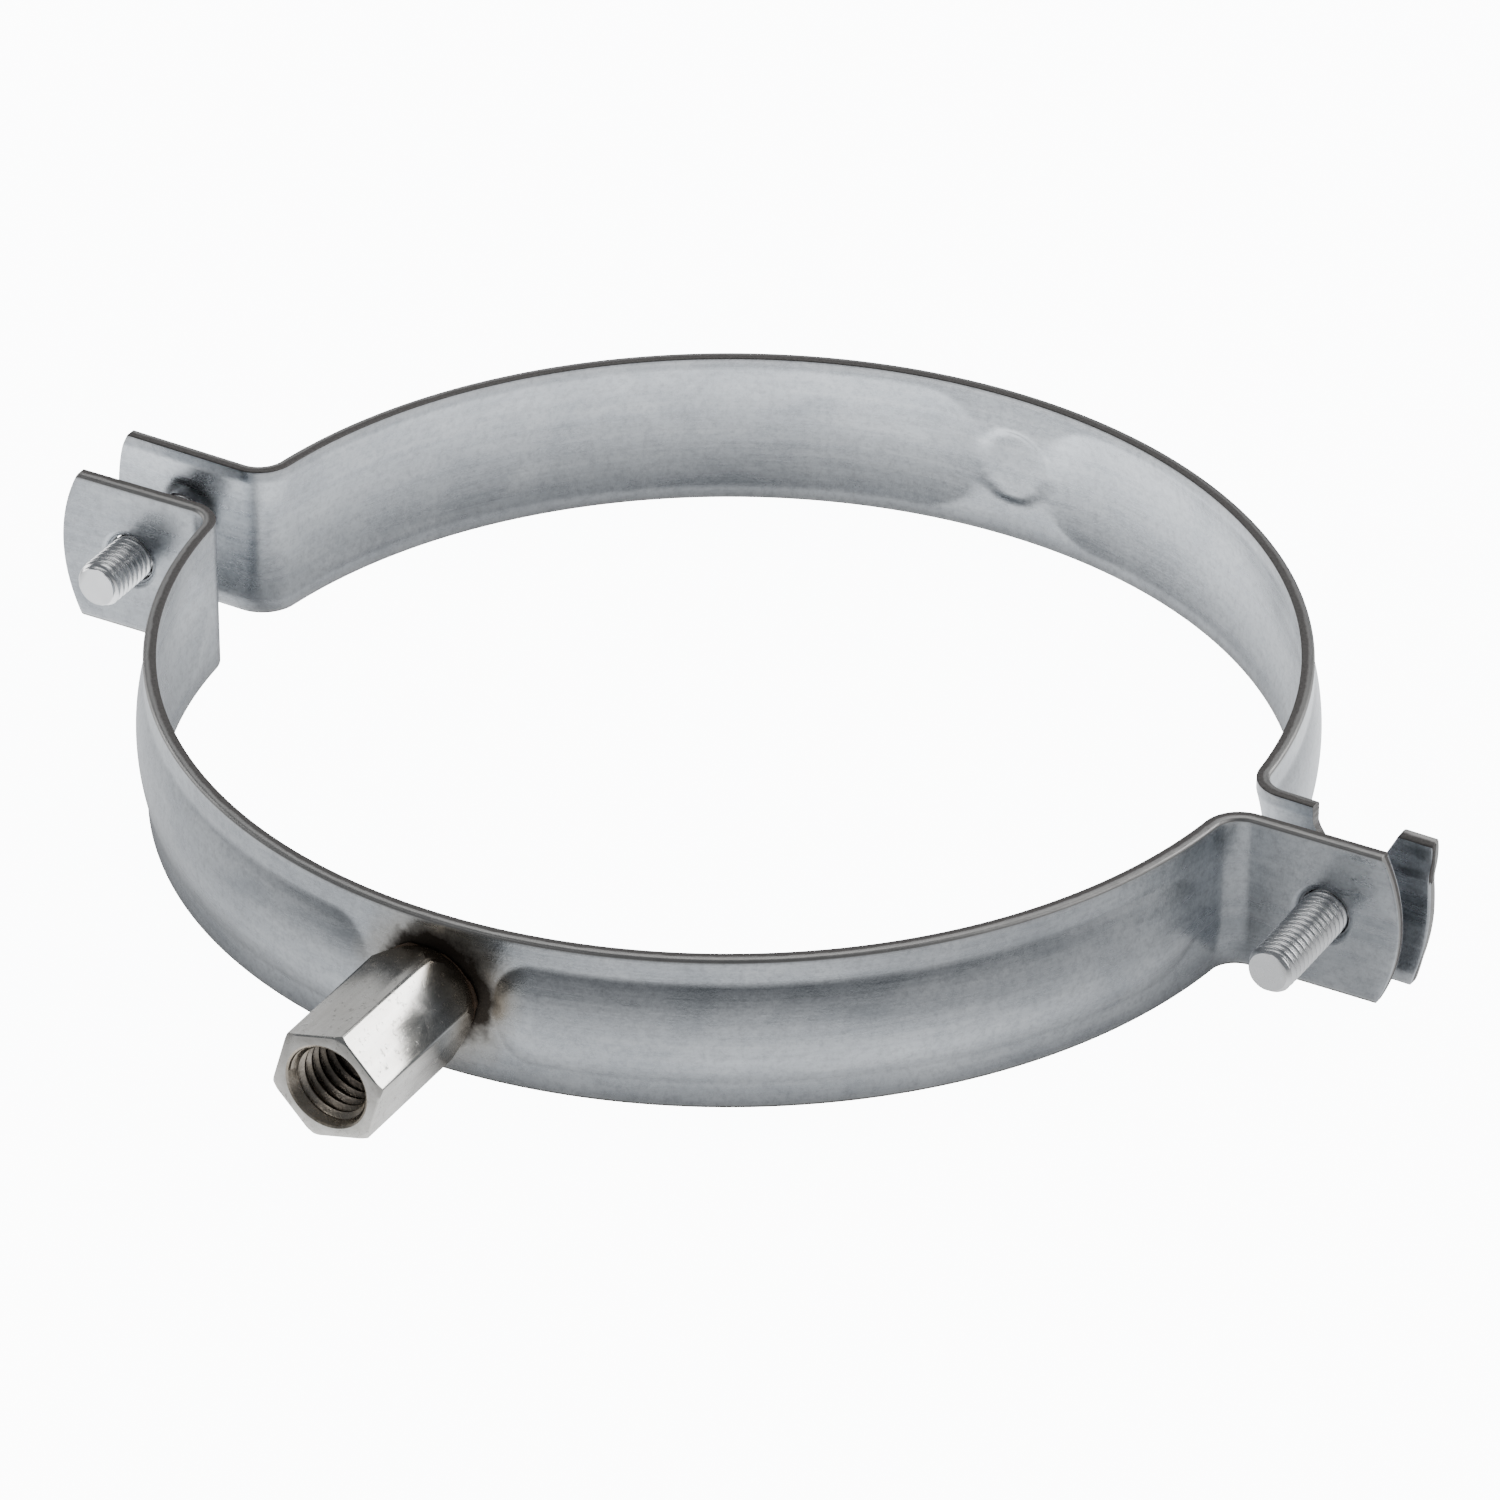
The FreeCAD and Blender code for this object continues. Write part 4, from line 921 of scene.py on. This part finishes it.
def connecting_nut():
    """The hexagon nut, chamfered at both ends, with its wide and narrow threads."""
    low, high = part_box("connecting_nut")
    mouth, foot = low[1] / MM, high[1] / MM
    outline = []
    for k in range(6):
        angle = math.radians(NUT_TURN + 60 * k)
        outline.append((NUT_CORNER * math.cos(angle), SCREW_Z + NUT_CORNER * math.sin(angle)))
    piece = prism("hex_nut", outline, mouth, foot, NUT_PLATING)
    soften(piece, 0.22, 3)
    slope = math.tan(math.radians(30))
    beyond = NUT_CORNER + 0.6
    at_mouth = NUT_CORNER - 0.45 / slope
    at_foot, foot_slope = 6.15, math.tan(math.radians(70))
    barrel = lathe("barrel", [
        (0.0, mouth - 0.01), (at_mouth, mouth), (at_mouth + 0.25, mouth + 0.10),
        (beyond, mouth + (beyond - at_mouth) * slope), (beyond, foot - (beyond - at_foot) * foot_slope),
        (at_foot, foot), (0.0, foot + 0.01)], 0.0, NUT_PLATING, 144)
    combine(piece, barrel, "INTERSECT")
    lay = Matrix.Rotation(math.radians(-90), 4, "X")
    for name, thread, start in (("wide_tap", WIDE_THREAD, mouth - 2),
                                ("narrow_tap", NARROW_THREAD, mouth + WIDE_DEPTH)):
        tap = threaded_rod(name, *thread, TAP_LENGTH, NUT_THREAD)
        tap.data.transform(Matrix.Translation(Vector((0, start, SCREW_Z)) * MM) @ lay)
        combine(piece, tap, "DIFFERENCE")
    sink = lathe("sink", [(0.0, mouth - 1), (6.35, mouth - 1), (5.35, mouth), (5.1, mouth + 0.15),
                          (4.2, mouth + 1.8), (0.0, mouth + 1.8)], 0.0, NUT_THREAD)
    combine(piece, sink, "DIFFERENCE")
    shade(piece, 28.0)
    return piece


def nut_weld():
    """Uneven fused metal squeezed out between the nut's foot and the strip."""
    outside = RING + GAUGE / 2
    foot_y = -(outside + 0.25)
    steps, rows = 120, 10
    points, faces = [], []
    for step in range(steps):
        angle = 2 * math.pi * step / steps
        wobble = 0.16 * math.sin(3 * angle + 0.8) + 0.1 * math.sin(7 * angle) + 0.05 * math.sin(17 * angle)
        reach = 6.25 + wobble
        for k in range(rows + 1):
            lean = math.pi * k / rows
            radius = reach - 1.1 + 1.1 * math.sin(lean)
            x, z = radius * math.cos(angle), radius * math.sin(angle)
            skin = -math.sqrt(outside ** 2 - x * x)
            share = (1 - math.cos(lean)) / 2
            y = (foot_y - 0.30) * (1 - share) + (skin + 0.15) * share
            points.append((x, y, SCREW_Z + z))
    ring = rows + 1
    for step in range(steps):
        here, there = step * ring, (step + 1) % steps * ring
        for k in range(rows):
            faces.append((here + k, there + k, there + k + 1, here + k + 1))
    faces.append(tuple(step * ring for step in range(steps)))
    faces.append(tuple(step * ring + rows for step in range(steps)))
    piece = make_piece("weld_bead", points, faces, WELD_SCALE)
    face_outwards(piece)
    shade(piece, 60.0)
    return piece


# ---------------------------------------------------------------- put together

def hand_in(piece, node, body):
    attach(piece, body)
    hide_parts(node)


hand_in(front_band(), "front_band", "front_half")
hand_in(connecting_nut(), "connecting_nut", "front_half")
hand_in(nut_weld(), "nut_weld", "front_half")
hand_in(rear_band(), "rear_band", "rear_half")
for side in ("left", "right"):
    hand_in(screw(f"{side}_rolled_screw", side), f"{side}_screw", f"{side}_bolt")
    hand_in(retainer(f"{side}_fibre_disc", side), f"{side}_retainer", f"{side}_disc")


# ---------------------------------------------------------------- floor, light and camera

def floor_paper():
    """White paper, evenly bright for the camera. What the metal mirrors of it is a painted reflection:
    painted shade at a shallow angle, near the strip, in front of the nut and beside the right ear, and
    painted light behind the clamp and to the left."""
    material, tree, shader = new_finish("floor_paper", 0.0)
    shader.inputs["Roughness"].default_value = 0.9
    place = add_node(tree, "ShaderNodeTexCoord").outputs["Object"]
    parts = add_node(tree, "ShaderNodeSeparateXYZ", {0: place}).outputs
    grazing = add_node(tree, "ShaderNodeLayerWeight", {"Blend": 0.5}).outputs["Facing"]
    painted_reflection = remap(tree, grazing, 0.85, 0.15, 0.10, 1.30)
    from_strip = calc(tree, "ABSOLUTE", calc(tree, "SUBTRACT", length_of(tree, parts["X"], parts["Y"]),
                                             RING * MM))
    rear_light = remap(tree, parts["X"], -0.03, 0.02, 1.35, 2.8)
    # painted shade near the strip, in front of the nut and beside the right ear; painted light behind the
    # clamp and to the left
    for share in (
            remap(tree, from_strip, 0.0008, 0.0058, 0.22, 1.0),
            remap(tree, parts["Y"], -0.01, 0.045, 1.0, rear_light),
            remap(tree, parts["Y"], -0.115, -0.09, 0.40, 1.0),
            remap(tree, parts["X"], 0.058, 0.078, 1.0, 0.55),
            remap(tree, parts["X"], -0.085, -0.055, 1.7, 1.0)):
        painted_reflection = calc(tree, "MULTIPLY", painted_reflection, share)
    rays = add_node(tree, "ShaderNodeLightPath").outputs
    shader.inputs["Base Color"].default_value = (0.5, 0.5, 0.5, 1)
    shader.inputs["Emission Color"].default_value = (0.97, 0.985, 1, 1)
    # camera rays see an even white glow; glossy rays see the painted reflection
    glow = calc(tree, "ADD", calc(tree, "MULTIPLY", rays["Is Camera Ray"], 12.0),
                calc(tree, "MULTIPLY", rays["Is Glossy Ray"], painted_reflection))
    tree.links.new(glow, shader.inputs["Emission Strength"])
    return material


floor = make_piece("floor", [(-3000, -3000, -0.05), (3000, -3000, -0.05), (3000, 3000, -0.05),
                             (-3000, 3000, -0.05)], [(0, 1, 2, 3)], floor_paper())


def soft_box(name, place, size, power):
    """A soft light that faces the clamp."""
    data = bpy.data.lights.new(name, "AREA")
    data.shape = "RECTANGLE"
    data.size, data.size_y = size
    data.energy = power
    lamp = bpy.data.objects.new(name, data)
    lamp.location = place
    lamp.rotation_euler = (-Vector(place)).to_track_quat("-Z", "Y").to_euler()
    bpy.context.collection.objects.link(lamp)


soft_box("top_box", (-0.15, 0.45, 1.0), (0.9, 0.7), 4.0)
soft_box("left_box", (-1.0, 0.05, 0.22), (0.5, 0.5), 2.4)
soft_box("right_box", (0.9, 0.1, 0.5), (0.3, 0.8), 2.0)
soft_box("back_right_box", (0.55, 0.66, 0.42), (0.45, 0.45), 4.5)
soft_box("back_left_box", (-0.62, 0.66, 0.30), (0.45, 0.45), 0.35)
soft_box("front_slit", (-0.35, -1.0, 0.75), (0.9, 0.16), 1.0)

world = bpy.data.worlds.new("studio")
bpy.context.scene.world = world
world.use_nodes = True
world.node_tree.nodes["Background"].inputs["Color"].default_value = (0.80, 0.85, 0.92, 1)
world.node_tree.nodes["Background"].inputs["Strength"].default_value = 0.17


def studio_camera():
    """A long lens, round to the right, looking down and rolled by a hair."""
    turn, drop, roll = (math.radians(value) for value in (29.335, 31.878, 0.062))
    distance, slide, lift = 1.162272, -0.002511, -0.004094
    ahead = Vector((-math.sin(turn) * math.cos(drop), math.cos(turn) * math.cos(drop), -math.sin(drop)))
    right = Vector((math.cos(turn), math.sin(turn), 0.0))
    up = right.cross(ahead)
    across = right * math.cos(roll) + up * math.sin(roll)
    above = up * math.cos(roll) - right * math.sin(roll)
    data = bpy.data.cameras.new("studio_camera")
    data.sensor_width = 36.0
    data.lens = 234.26868
    data.clip_start, data.clip_end = 0.05, 10.0
    camera = bpy.data.objects.new("studio_camera", data)
    place = -ahead * distance - across * slide - above * lift
    camera.matrix_world = Matrix.Translation(place) @ Matrix((across, above, -ahead)).transposed().to_4x4()
    bpy.context.collection.objects.link(camera)
    bpy.context.scene.camera = camera


studio_camera()
